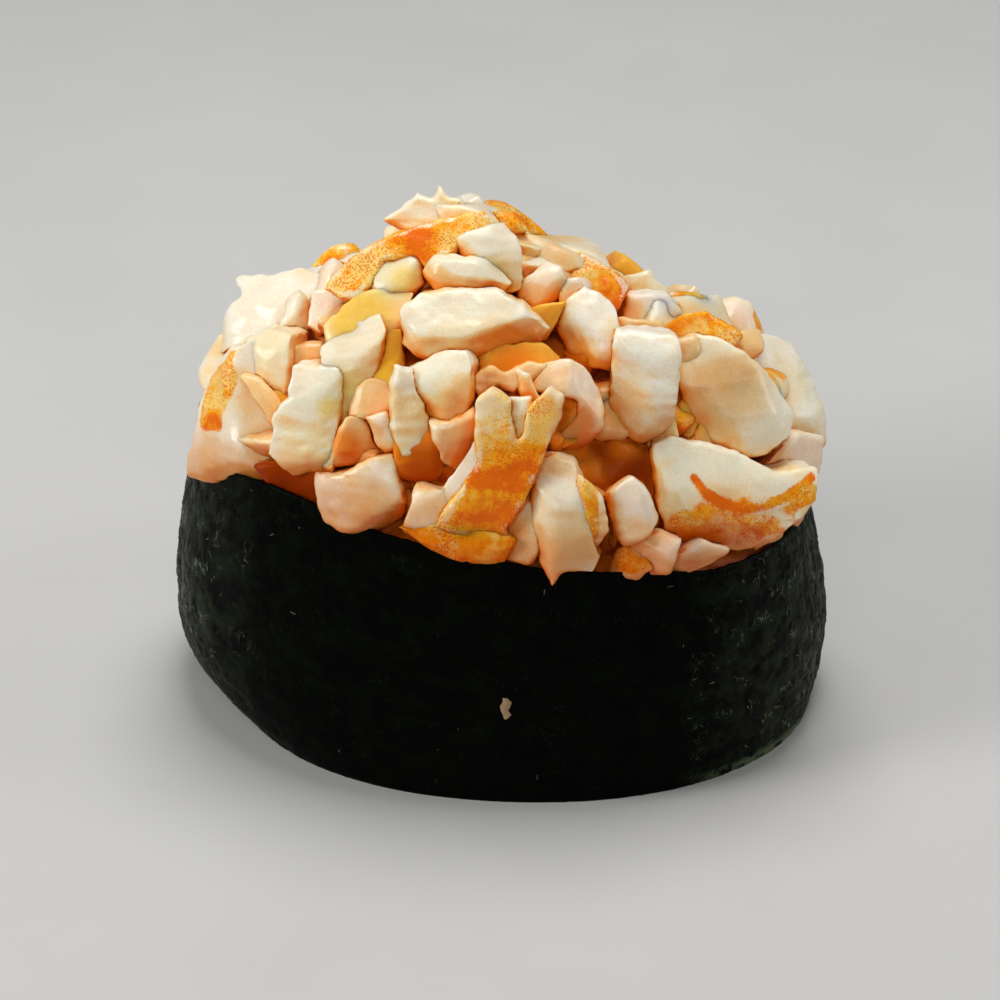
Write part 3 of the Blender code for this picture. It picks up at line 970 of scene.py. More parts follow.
def chopPiece(seed, voxel, outline, depth, tone, heart=None, skin=(), soften=1, edge=None,
              flare=-0.15, crown=0.15, curl=0.0, lump=1.0, bright=1.0, cuts=None,
              skinDepth=None, ripe=None, stripe=None):
    # one chopped piece in its own frame: broad face up +Z, in millimetres
    dice = random.Random(seed)
    corners = [Vector(point) for point in outline]
    if sum(a.x * b.y - b.x * a.y for a, b in zip(corners, corners[1:] + corners[:1])) < 0:
        corners.reverse()
    blank = chopBlank(dice, corners, depth, edge or chopShape["edge"], flare)
    mesh = evaluated(blank, "REMESH", mode="VOXEL", voxel_size=voxel)
    points = readPoints(mesh)
    low, high = points.min(0), points.max(0)
    half = np.maximum((high - low)[:2] / 2, 0.5)
    middle = ((high + low) / 2)[:2]
    across = (points[:, :2] - middle) / half
    reach = np.sqrt((across ** 2).sum(1))
    front = smoothStep(points[:, 2], -1.6, -0.3)
    points[:, 2] += crown * (1 - np.clip(reach, 0, 1) ** 2) * front
    points = knifeCuts(dice, points, cuts)
    mesh.vertices.foreach_set("co", points.astype(np.float32).ravel())
    mesh = evaluated(mesh, "SMOOTH", factor=0.5, iterations=soften)
    points, facing = readPoints(mesh), readPoints(mesh, "normal")
    offset = np.array([dice.uniform(0, 60) for _ in range(3)])
    turn = math.radians(dice.uniform(0, 180))
    along = np.array([math.cos(turn), math.sin(turn), 0.0])
    cross = np.array([-math.sin(turn), math.cos(turn), 0.0])
    fibres = np.stack([points @ along * chopShape["fibreStretch"], points @ cross,
                       points[:, 2]], 1)
    side = 1 - smoothStep(np.abs(facing[:, 2]), 0.3, 0.8)
    push = (uneven(points, "lump", offset) * lump
            + uneven(points, "chip", offset + 9) * lump
            + uneven(points, "ragged", offset + 15) * side * lump
            + uneven(fibres, "fibre", offset + 20) * lump)
    points += facing * push[:, None]
    shade = np.array(tones[tone][:3])[None, :].repeat(len(points), 0)
    if heart:
        # a different tone round a spot of the broad face
        name, u, v, radius = heart
        away = np.hypot(points[:, 0] - u, points[:, 1] - v) / radius
        share = (1 - smoothStep(away, 0.35, 1.15))[:, None] * chopShape["heart"]
        shade = blend(shade, tones[name][:3], share)
    # painted light: thin edges are painted whiter, for the light they let through
    inside = lineDistance(points, corners + corners[:1])
    thin = (1 - smoothStep(inside, 0.0, chopShape["thinEdge"]))[:, None]
    thin = thin * smoothStep(points[:, 2], -2.0, -0.6)[:, None]
    thin = thin * chopShape["thinWhite"] * smoothStep(shade[:, 2:], 0.15, 0.6)
    shade = blend(shade, tones["white"][:3], thin)
    shade = shade * bright * dice.uniform(0.96, 1.02)
    covered = np.zeros(len(points))
    ragged = uneven(points, "wear", offset + 40)
    for u, v, wide, tall, *partly in skin:
        away = np.hypot((points[:, 0] - u) / wide, (points[:, 1] - v) / tall)
        patch = (1 - smoothStep(away + ragged, 0.75, 1.15)) * (partly[0] if partly else 1.0)
        covered = np.maximum(covered, patch)
    striped = np.zeros(len(points))
    if stripe:
        wide, *bends = stripe
        away = lineDistance(points, [Vector(bend) for bend in bends]) / wide
        striped = (1 - smoothStep(away + 1.6 * ragged, 0.5, 1.6)) * chopShape["stripe"]
    covered = np.maximum(covered, striped)
    # the skin wears off towards the torn outline
    worn = smoothStep(inside + 2 * ragged, -0.05, 0.25)
    covered *= 0.5 + 0.5 * worn
    under = -(skinDepth or chopShape["skinDepth"])
    covered *= smoothStep(points[:, 2], under - 0.3, under + 0.3)
    heat = np.full(len(points), 0.35)
    if isinstance(ripe, float):
        heat = ripe + (0.75 - ripe) * striped
    elif ripe:
        u, v, radius = ripe
        away = np.hypot(points[:, 0] - u, points[:, 1] - v) / radius
        heat = 1.0 - 0.9 * smoothStep(away, 0.3, 1.4)
    if curl:
        points[:, 2] -= curl * ((points[:, 0] - middle[0]) / half[0]) ** 2
    return {"mesh": mesh, "points": points, "tone": shade, "skin": covered, "ripe": heat}


def meshOf(name, parts):
    # joins parts and keeps what each says about its colour
    mesh = bpy.data.meshes.new(name)
    faces, base = [], 0
    for part in parts:
        faces.extend([[base + index for index in face.vertices] for face in part["mesh"].polygons])
        base += len(part["points"])
    joined = {key: np.concatenate([part[key] for part in parts])
              for key in ("points", "tone", "skin", "ripe")}
    mesh.from_pydata(joined["points"].tolist(), [], faces)
    writeAttributes(mesh, joined["tone"], joined["skin"], joined["ripe"])
    mesh.shade_smooth()
    mesh.materials.append(meatMaterial)
    return mesh


def writeNumbers(mesh, **columns):
    for name, values in columns.items():
        attribute = mesh.attributes.new(name, "FLOAT", "POINT")
        attribute.data.foreach_set("value", values.astype(np.float32))


def writeAttributes(mesh, tone, skin, ripe):
    colour = mesh.attributes.new("tone", "FLOAT_COLOR", "POINT")
    full = np.concatenate([tone, np.ones((len(tone), 1))], 1).astype(np.float32)
    colour.data.foreach_set("color", full.ravel())
    writeNumbers(mesh, skin=skin, ripe=ripe)


def frameOf(turn, tilt):
    # axes of a piece whose broad face looks along a compass turn and a tilt, in degrees
    flat = math.cos(math.radians(tilt))
    outward = Vector((flat * math.cos(math.radians(turn)), flat * math.sin(math.radians(turn)),
                      math.sin(math.radians(tilt))))
    across = Vector((-outward.y, outward.x, 0)).normalized()
    return Matrix((across, outward.cross(across), outward)).transposed()


def placePart(part, spot, axes):
    part["points"] = (part["points"] @ np.array(axes.transposed()) + np.array(spot)) * mm
    return part


# Pieces laid one by one. at: degrees round the heap, degrees up it, and how far the broad face
# stands out; looks: the compass turn and tilt it faces; outline: its corners in that face.
meatBlocks = [
    dict(at=(-120, 54, 0.7), looks=(-95, 18), depth=5, tone="white",
         heart=("yellow", 0.4, -3.4, 3.6),
         cuts=[(110, 38, 1.6), (-10, 25, 0.8)],
         outline=[(-1.5, 1.8), (0, 3.3), (1.7, 3.9), (2.4, 2.9), (2.4, 0), (1.2, -3.4),
                  (0.4, -5.4), (-0.4, -5.2), (-1, -3), (-2, -0.7), (-2.4, 0.7)]),
    dict(at=(176, 54, 0.5), looks=(-115, 35), depth=7, tone="cool", crown=0.4,
         cuts=[(100, 30, 1.1), (-20, 34, 1.3), (200, 36, 1.2)],
         outline=[(-5, 1.5), (-3.6, 1.9), (-1.6, 2.4), (0.4, 3.8), (2.8, 3.8), (4.6, 2.2),
                  (4.8, -0.6), (3.9, -2.6), (1.4, -3.6), (-1.6, -4.2), (-4.2, -5.2),
                  (-4.6, -2.4), (-3.2, 0.2)]),
    dict(at=(-160, 60, 0.6), looks=(-80, 15), depth=5, tone="white", soften=2, crown=0.7,
         outline=[(-0.6, 1.6), (0.3, 2.3), (1, 1.4), (1.6, -1.3), (0.2, -2), (-1.3, -1.3),
                  (-1.1, -0.5)]),
    dict(at=(-142, 44, 0.2), looks=(-105, 15), depth=6, tone="cream", crown=0.3,
         outline=[(-3.2, 2), (-1, 3.4), (1.1, 3.4), (1.4, 1.5), (1.6, -1.9), (2.4, -2.8),
                  (1.7, -3.7), (-1.2, -1.2), (-2.7, -0.7)]),
    dict(at=(-123, 33, 0.2), looks=(-98, 12), depth=6, tone="white", heart=("yellow", 2.2, 1, 1.4),
         crown=0.2, cuts=[(20, 30, 0.7), (88, 40, 0.9), (-80, 24, 0.9)],
         outline=[(-1.3, 3.9), (2.2, 4.1), (2.7, 3), (2.6, -2.7), (2.2, -5.2), (0.6, -4.6),
                  (-0.8, -5.4), (-2.9, -3.7), (-2.7, -0.4), (-1.4, 1.2)]),
    dict(at=(-132, 16, -0.7), looks=(-114, -10), depth=6, tone="cream", heart=("tan", 1, -2.4, 4),
         crown=0.2, cuts=[(88, 40, 0.9), (-90, 24, 0.7)],
         outline=[(-5, -3), (-4.6, -0.8), (-1.8, -0.6), (1.6, 0.7), (4.6, 1.3), (7, 0.8),
                  (6.8, -0.8), (4.6, -1.2), (1.9, -0.6), (-0.2, -1.4), (-2.8, -3)]),
    dict(at=(-108, 12, 0.1), looks=(-100, 12), depth=6, tone="lilac", heart=("tan", 2, -0.5, 2.6),
         outline=[(-4.4, 0.9), (-1.7, 1.5), (0.5, 3), (2.1, 3.6), (2.9, 1.5), (3.6, -0.2),
                  (3.3, -1.7), (1.7, -2.6), (-1.4, -3), (-3, -2.6), (-3.7, -1)]),
    dict(at=(-94, 50, 0.4), looks=(-95, 18), depth=6, tone="white", heart=("cream", 1, -0.5, 2.4),
         crown=0.2, cuts=[(100, 34, 1.0), (-20, 26, 0.8), (235, 24, 0.8)],
         outline=[(-3.2, 1), (-1.9, 1.8), (-0.7, 2.8), (1.5, 3.1), (2.2, 2.1), (2.6, -0.6),
                  (2, -2.3), (0.6, -3.3), (-0.7, -3), (-2.4, -1.6)]),
    dict(at=(-88, 66, 0.7), looks=(-85, 12), depth=6.5, tone="white",
         heart=("cream", -1, -1.2, 3.4),
         edge=0.6, crown=0.2, cuts=[(88, 42, 1.75), (-40, 30, 1.6), (180, 35, 0.8)],
         outline=[(-5.9, 1.4), (-4.5, 2.5), (-2, 2.9), (1.9, 2.9), (4.2, 1.7), (6.2, -0.3),
                  (5.6, -1.3), (2.8, -1.9), (1.1, -1.8), (-0.3, -2.4), (-3.6, -2.4),
                  (-5.7, -1.3)]),
    dict(at=(-92, 78, 0.3), looks=(-90, 30), depth=5, tone="white", edge=0.9,
         outline=[(-3.8, 0), (-2.8, 1.2), (-1.3, 1.4), (0.7, 1.4), (2.7, 0.9), (3.5, -0.4),
                  (2.9, -1.3), (0.3, -1.7), (-2.3, -1.6)]),
    dict(at=(-76, 84, 0.5), looks=(-75, 35), depth=5, tone="white", heart=("cream", 1, -1.4, 1.8),
         outline=[(-2.7, 1.2), (-1.4, 1.8), (1.1, 2.7), (1.8, 1.7), (2.2, 0.5), (2.2, -3.1),
                  (0.4, -3.4), (-1.2, -1.2), (-2.4, -0.1)]),
    dict(at=(-42, 70, 0.6), looks=(-80, 25), depth=6, tone="cool", crown=0.2,
         cuts=[(80, 30, 1.1), (200, 34, 1.1), (-60, 26, 0.8)],
         outline=[(-2.7, 0.4), (-1.6, 2.5), (-0.2, 3.5), (1.7, 2.5), (2.3, 0.9), (2.2, -1.4),
                  (2, -3.2), (-0.1, -2.9), (-1.5, -1.8), (-2.1, -0.5)]),
    dict(at=(-18, 44, 1.0), looks=(-70, 25), depth=7, tone="white", heart=("tan", -0.2, 0.8, 4.4),
         crown=0.3, lump=0.7, cuts=[(115, 34, 1.3), (20, 38, 1.3), (-150, 30, 0.9), (-60, 14, 0.6)],
         outline=[(-4, 4.5), (-2.8, 5.4), (-0.9, 4.9), (1.3, 3.5), (3.4, 1.2), (5.4, -2.2),
                  (4.6, -3.7), (2.5, -5), (0.7, -5.2), (-1.9, -3.6), (-3.9, -1.1), (-4.4, 1.5)]),
    dict(at=(14, 28, 0.5), looks=(-35, 30), depth=6, tone="cool", heart=("cream", 0, 0, 2.6),
         crown=0.6,
         outline=[(-2.6, 5.4), (0, 4.8), (1.8, 2.9), (2.6, 0), (2.8, -3.4), (2.6, -6),
                  (0.6, -6.6), (-2.4, -5), (-3.2, -1), (-3.4, 3)]),
    dict(at=(-42, 52, 0.7), looks=(-80, 15), depth=7, tone="cool", heart=("pink", -1.6, -2.6, 2.2),
         crown=0.2, cuts=[(90, 36, 0.9), (190, 26, 1.0), (-70, 30, 1.0)],
         outline=[(-2.3, 5), (2.2, 4.9), (2.7, 3.5), (2.4, -0.7), (2.1, -2.5), (1, -3.8),
                  (-0.5, -4.3), (-2.1, -3.1), (-2.9, -1.5), (-2.7, 2.4)]),
    dict(at=(-72, 17, 0.5), looks=(-85, 12), depth=6, tone="white", heart=("tan", 0.2, -1.6, 3.4),
         crown=0.3, cuts=[(85, 40, 1.6), (180, 38, 1.0), (-10, 20, 0.8)],
         outline=[(-2.8, 3.5), (-2.3, 5), (-1, 5.7), (0.6, 5), (1.7, 3.2), (2.1, -0.3),
                  (3.1, -2.9), (2.6, -3.9), (0.9, -3.6), (-0.2, -3.7), (-0.7, -4.7), (-1.7, -3.1),
                  (-2.3, 0.4)]),
]

meatBits = [
    dict(at=(-154, 66, 0.2), looks=(-80, 40), depth=4, tone="lilac",
         outline=[(-0.8, 1.4), (0.4, 1.6), (1.4, 0.8), (0.3, -0.8), (-0.4, -1.9), (-1.2, -1.2)]),
    dict(at=(-142, 66, 0.3), looks=(-80, 45), depth=4, tone="pink",
         outline=[(-1.4, -0.7), (-0.8, 0.5), (0.6, 1.1), (1.4, 0.7), (1, -0.4), (-0.8, -1.3)]),
    dict(at=(-136, 52, -1.0), looks=(-80, 35), depth=4, tone="tan", heart=("amber", 0.6, -1, 1.6),
         outline=[(-1.8, 1.1), (-0.2, 1.2), (1.4, 1.7), (2, -1), (-0.2, -1.6), (-1.6, -1.8)]),
    dict(at=(-136, 34, 0.0), looks=(-85, 25), depth=4, tone="tan", curl=0.4,
         outline=[(-2, 2.1), (-0.7, 1.8), (0.6, 0.5), (1.6, -1.2), (1.3, -2.8), (0.2, -1),
                  (-1, 0.7)]),
    dict(at=(-110, 28, -1.0), looks=(-80, 15), depth=4, tone="tan", heart=("orange", -0.8, 0, 1.8),
         outline=[(-1.8, 0.1), (-0.6, 2.1), (0.9, 2.1), (1.4, -0.1), (2.2, -0.7), (0, -1.8),
                  (-2.1, -1.7)]),
    dict(at=(-110, 44, -1.0), looks=(-85, 25), depth=4, tone="tan",
         outline=[(-1.9, -0.4), (-1.1, 0.7), (0.2, 1.5), (1.3, 1.3), (1.8, 0.1), (1.5, -1.6),
                  (-1.7, -1.5)]),
    dict(at=(-90, 36, -0.7), looks=(-80, 5), depth=5, tone="pink", heart=("tan", 0, 0, 2.4),
         outline=[(-2.3, 1.4), (-0.6, 1.4), (1.3, 2.1), (2.2, 1), (1.8, -0.7), (0.3, -3),
                  (-0.9, -2.1), (-1.8, 0.1)]),
    dict(at=(-78, 44, 0.1), looks=(-85, 15), depth=3, tone="pink",
         outline=[(-0.9, 1.7), (0.9, 1.6), (1, -0.3), (-0.1, -2.2), (-0.8, -0.8)]),
    dict(at=(-94, 16, 0.1), looks=(-95, 10), depth=4, tone="lilac",
         outline=[(-1.7, 1.2), (0.5, 1), (1.8, 2.7), (2.5, 2.3), (1.2, -0.7), (0.4, -1.9),
                  (-2.4, -2.8), (-2.2, -1.7)]),
    dict(at=(-6, 84, 0.2), looks=(-70, 55), depth=4, tone="cream", heart=("tan", 1, 0, 2.6),
         outline=[(-2.9, 3), (1, 2.1), (1.4, 1.4), (4.1, -0.8), (2.4, -0.6), (0.7, -1.1),
                  (-0.9, -1.5), (-2.8, -2.6), (-3, 0)]),
    dict(at=(-46, 80, 0.3), looks=(-80, 35), depth=4, tone="pink", soften=5, crown=0.6,
         outline=[(-1, 0.8), (0.5, 2), (1.4, 1.6), (2, 0), (1.3, -1), (-0.4, -1.5), (-2, -1.7),
                  (-1.9, -0.3)]),
    dict(at=(-42, 76, -0.2), looks=(-90, 25), depth=4, tone="pink", heart=("tan", 0, -1, 1.6),
         outline=[(-0.4, 2), (1.4, 2.2), (1.9, 1.2), (0.3, 0.2), (-0.3, -2.2), (-1.1, -2.3),
                  (-1.4, -1.2), (-0.4, 0.1)]),
    dict(at=(6, 68, -0.2), looks=(-75, 50), depth=4, tone="cream", skin=[(1.2, -1.2, 1.6, 1.2)],
         outline=[(-2.8, 2.3), (0.2, 2.4), (0.4, 1.8), (1.9, 1.1), (2.4, 0), (1.9, -1.9),
                  (1, -2.3), (-1, -2.4), (-2.5, -1.4), (-1.4, 0.5)]),
    dict(at=(10, 62, -0.5), looks=(-60, 50), depth=4, tone="cream", heart=("tan", 1, -1, 1.6),
         outline=[(-0.8, 1.9), (0.6, 1.8), (0.8, 1), (2.2, -0.7), (0.1, -2.1), (-1.9, -1.7),
                  (-0.8, 0)]),
    dict(at=(-22, 66, 0.1), looks=(-75, 30), depth=3.5, tone="tan",
         outline=[(-1.7, 1.1), (0.1, 0.7), (1.8, 0.6), (1.6, -1), (-0.2, -1), (-1.6, -0.4)]),
    dict(at=(26, 44, 0.3), looks=(-60, 45), depth=6, tone="pink", soften=8, crown=1.0,
         skin=[(2.6, -0.6, 1.0, 1.6)],
         outline=[(-2.9, 1.1), (-1, 1.9), (0.6, 2), (2, 1), (2.8, -1.8), (1.8, -2.2), (-0.6, -1.7),
                  (-2.4, -0.4)]),
    dict(at=(12, 44, 0.2), looks=(-60, 40), depth=3.5, tone="tan",
         outline=[(-1.3, 0.2), (-0.5, 0.9), (1.3, 0.9), (1, -0.7), (-0.4, -1.3)]),
    dict(at=(-8, 22, 0.8), looks=(-40, 10), depth=6, tone="pink", soften=2,
         outline=[(3.5, 0.5), (3.4, -1), (2.3, -2), (-2.6, -0.9), (-4.1, 0.2), (-2.4, 1.5),
                  (0.2, 2)]),
    dict(at=(-80, 12, -0.3), looks=(-95, 12), depth=4, tone="pink", heart=("tan", 0, 0, 2),
         outline=[(-1.8, -1.2), (-0.9, 1.6), (0.4, 3.3), (1.1, 1.9), (1.5, -1.2), (1.1, -2.4),
                  (-1.5, -2.1)]),
    dict(at=(-58, 20, 0.3), looks=(-80, 15), depth=5, tone="lilac", heart=("pink", 0.6, -1, 1.6),
         soften=2,
         outline=[(-2, 1.6), (-0.1, 3), (1, 1.9), (2, -0.4), (1.4, -1.7), (-0.7, -2.7),
                  (-1.6, -1.7)]),
    dict(at=(-12, 8, 0.3), looks=(-35, 10), depth=3, tone="pink", soften=2,
         outline=[(-1.8, 0.5), (0.9, 0.9), (2, 0.3), (0.2, -1.2), (-1.2, -0.5)]),
    dict(at=(-46, 6, 0.5), looks=(-75, 15), depth=4, tone="lilac",
         outline=[(-2.1, -0.6), (-0.9, 1), (0.3, 1.6), (2.9, 0.6), (2, -0.1), (-0.3, -1),
                  (-2, -1.5)]),
    dict(at=(-56, 8, 0.0), looks=(-85, 10), depth=4, tone="pink",
         outline=[(-2.5, -0.1), (-1.3, 1.5), (1.1, 1.4), (2.5, 0.9), (1.7, -1.5), (-0.3, -2),
                  (-1.2, -0.7)]),
    dict(at=(-24, 6, 0.1), looks=(-55, 10), depth=3, tone="pink",
         outline=[(-1.8, 0), (-0.1, 0.7), (1.9, 0.7), (1.2, -0.5), (-1.2, -0.9)]),
]

allSkin = dict(skin=[(0, 0, 12, 12)], skinDepth=2.2, cuts=())
skinPieces = [
    dict(at=(-132, 80, 0.4), looks=(-100, 45), depth=3.5, tone="cream", ripe=(0.4, 0.6, 2.1),
         curl=0.5, crown=0.4, **allSkin,
         outline=[(-6.3, -4.3), (-5.6, -2.4), (-4.1, -0.8), (-1.8, 1), (0.2, 2.2), (3.6, 4.1),
                  (5.1, 4.8), (6.5, 4.1), (5.3, 3.2), (4, 2.4), (3.7, 0.9), (1.8, -1.1),
                  (0.8, -0.2), (-2.2, -1.1), (-2.8, -3.3), (-3.6, -4.8), (-4.9, -4.9)]),
    dict(at=(-145, 26, 0.5), looks=(-122, 12), depth=7, tone="white", skin=[(-1.9, 1.7, 2.1, 4.6)],
         ripe=(-1.4, -1.4, 1.3), crown=0.3, heart=("cool", 2.6, -2.2, 3),
         cuts=[(150, 30, 1.2), (35, 38, 1.5), (-60, 30, 0.8)],
         outline=[(0.4, 6), (1.4, 3.8), (4.9, -1.8), (4.9, -4.6), (2.6, -5.6), (1, -5.5),
                  (-0.6, -6.6), (-3.2, -6.8), (-4, -1.5), (-3.8, 1), (-3, 3), (-1.8, 5)]),
    dict(at=(-80, 36, 0.9), looks=(-90, 10), depth=2.6, tone="cream", ripe=(0.4, -3.4, 4.5),
         skin=[(0, -3.5, 12, 6), (0, 0, 12, 12, 0.56)], skinDepth=2.2, cuts=(), crown=0.3,
         soften=2,
         outline=[(-2.7, 4.6), (-1.7, 5.5), (-0.2, 4.5), (0.6, 0.4), (1.6, 2.4), (1.6, 4),
                  (3.2, 5.8), (4.1, 5.3), (4, 3.5), (2.7, -0.3), (1.1, -3.9), (-0.1, -6.2),
                  (0.2, -7.5), (-2.2, -7.1), (-5.7, -6.4), (-4.4, -4.3), (-2.4, -0.7)]),
    dict(at=(-90, 6, 0.2), looks=(-90, 5), depth=4, tone="orange", **allSkin,
         outline=[(-5, 0.6), (-3, 0.9), (-1.7, 1.4), (1.8, 0.8), (4.2, 0.3), (3.5, -1.3),
                  (1.8, -1.5), (-1.7, -1.2)]),
    dict(at=(32, 88, 0.2), looks=(-80, 50), depth=2.5, tone="amber", **allSkin,
         outline=[(-1.1, 0.6), (0.3, 0.7), (1.1, -0.6), (-0.5, -0.7)]),
    dict(at=(0, 78, 0.6), looks=(-60, 50), depth=3, tone="pink", ripe=(2, -2, 2.4),
         curl=0.3, **allSkin,
         outline=[(-3, 1.9), (-1.4, 2.5), (0.1, 2.3), (1.6, 0.5), (2.6, -1.5), (1.1, -3.2),
                  (-0.1, -2), (-0.9, -0.6)]),
    dict(at=(-10, 58, 0.5), looks=(-85, 35), depth=3, tone="cream", **allSkin,
         outline=[(-2.9, 0.6), (-1.6, 1.5), (-0.5, 2.2), (1.1, 2.4), (4.1, 0.5), (3.4, -0.3),
                  (0.6, 0.8), (-0.3, 0.4), (-0.5, -2), (-1.6, -5.5), (-1.6, -0.7)]),
    dict(at=(-66, 22, 0.5), looks=(-65, 12), depth=4, tone="pink", skin=[(-0.2, 0, 0.8, 9)],
         outline=[(-0.8, 3), (-0.2, 2.4), (0.7, 0.7), (1.2, -2), (0.3, -3.3), (-0.6, -1.8),
                  (-0.8, 0.9)]),
    dict(at=(-34, 22, 0.7), looks=(-70, 15), depth=8, tone="white", crown=0.3,
         skin=[(-1, -3.0, 7.4, 3.4, 0.62), (-4.8, -2.6, 1.8, 2.6, 0.72),
               (6.4, -0.1, 1.5, 1.1, 0.9)], skinDepth=3.6,
         ripe=0.5, stripe=(0.42, (-3.4, 2.2), (-2.5, 0.9), (-1.2, -0.1), (0.6, -0.7), (2.6, -0.8),
                           (4.8, 0), (7, 1.2)),
         heart=("tan", -1, -3, 5.4), cuts=[(-100, 28, 1.4), (80, 26, 1.3), (160, 30, 0.8)],
         outline=[(-6.3, 5), (-5, 5.4), (1.1, 3.3), (3.7, 1.5), (7.3, 1.6), (6.9, -0.8),
                  (5.3, -2.4), (3.5, -3.8), (0.4, -4.7), (-4, -3.7), (-5.9, -2.2),
                  (-6.6, 0.5)]),
    dict(at=(-60, 5, 0.0), looks=(-90, 14), depth=3, tone="tan", skin=[(0.3, 0.3, 2.2, 1.5)],
         outline=[(-1.9, -1), (-1.3, 0.6), (-0.1, 1.4), (1, 0.6), (1.7, -0.4), (0.7, -1.2)]),
    dict(at=(-122, 4, -1.2), looks=(-105, 10), depth=4, tone="deep", cuts=(), bright=0.75,
         outline=[(-4.4, 0.9), (-1, 1.8), (1.9, 1.5), (2.7, -0.7), (2.6, -1.6), (0.6, -1.3),
                  (-2.4, -0.5)]),
]

amberPieces = [
    dict(at=(-97, 29, -1.0), looks=(-85, 12), depth=4, tone="orange",
         heart=("deep", 0.4, -0.6, 2.6),
         outline=[(-2, 1.8), (0.5, 2.2), (2, 1), (2.1, -1.2), (0.4, -2.2), (-1.8, -1.6)]),
    dict(at=(-27, 50, -1.5), looks=(-78, 22), depth=4, tone="tan", heart=("amber", 0, -2, 3),
         soften=4,
         outline=[(-1.4, 3.6), (0.2, 4.2), (1, 0), (0.8, -4.4), (-0.8, -4.8), (-1.2, -0.6)]),
    dict(at=(-110, 52, -1.1), looks=(-85, 30), depth=4, tone="amber", heart=("gold", 0.4, 0.6, 2.8),
         soften=4,
         outline=[(-1.4, 3.4), (1.4, 3.6), (1.9, 0.4), (0.8, -2.6), (-0.8, -3.4), (-1.8, -0.6)]),
    dict(at=(-128, 76, 0.2), looks=(-90, 40), depth=4, tone="cream", heart=("yellow", 1, -1, 2),
         soften=8, crown=0.9,
         outline=[(-1.9, 1.3), (-0.6, 1.8), (0.9, 1.9), (1.9, 1), (2.1, -0.5), (1.1, -1.6),
                  (-0.7, -1.9), (-2.8, -2.2)]),
    dict(at=(-120, 62, -0.2), looks=(-85, 30), depth=5, tone="cream",
         heart=("gold", -0.8, 1.2, 4.6),
         bright=1.04, crown=0.6, cuts=[(100, 25, 0.9), (-30, 30, 0.9)],
         outline=[(-3.6, 0.5), (-2.2, 1.9), (-1, 3.2), (1.2, 3.7), (3.3, 3.6), (3, 0.7),
                  (2.9, -1.2), (1.4, -3.5), (0.2, -4.5), (-0.2, -3.5), (0.5, -0.2), (-2.2, 0.1),
                  (-3.4, -0.8)]),
    dict(at=(-76, 58, -1.4), looks=(-80, 30), depth=4, tone="amber", heart=("orange", 0, 0, 3),
         outline=[(-4.3, 1.4), (-1.3, 2.3), (2.5, 2.5), (4, 1), (3.1, -1.2), (0.8, -2.6),
                  (-1.4, -2), (-3.3, -1.3)]),
    dict(at=(-60, 72, -0.4), looks=(-85, 25), depth=3, tone="amber",
         outline=[(-1.6, 0.8), (1.6, 1.5), (0.8, -0.3), (0.2, -1.4), (-0.9, -0.6)]),
    dict(at=(-64, 50, -0.4), looks=(-75, 20), depth=2.4, tone="pink",
         heart=("orange", 0.4, -1.4, 2.8),
         soften=6, curl=0.5,
         outline=[(-3.8, 2), (-2.5, 3.5), (-0.2, 3.9), (1.8, 3.2), (3, 0.8), (2.6, -2),
                  (1.1, -3.9), (-1, -4.5), (-1.6, -3.7), (0.8, -1.3), (1.1, 0.7), (-1.3, 1.2)]),
    dict(at=(-66, 46, -1.4), looks=(-80, 20), depth=3, tone="orange", heart=("amber", 1, -0.4, 1.4),
         outline=[(-1, 2.6), (1.8, 2), (1.9, 0.4), (0.2, -2.1), (-1.3, -2.5), (-1.7, -0.4)]),
    dict(at=(-90, 26, 0.3), looks=(-110, 5), depth=3, tone="pink",
         outline=[(1.2, 3.6), (1.6, 1.8), (0.4, -0.3), (-1.5, -3.8), (-2.2, -3.4), (-0.2, 0.1),
                  (0.7, 2)]),
]

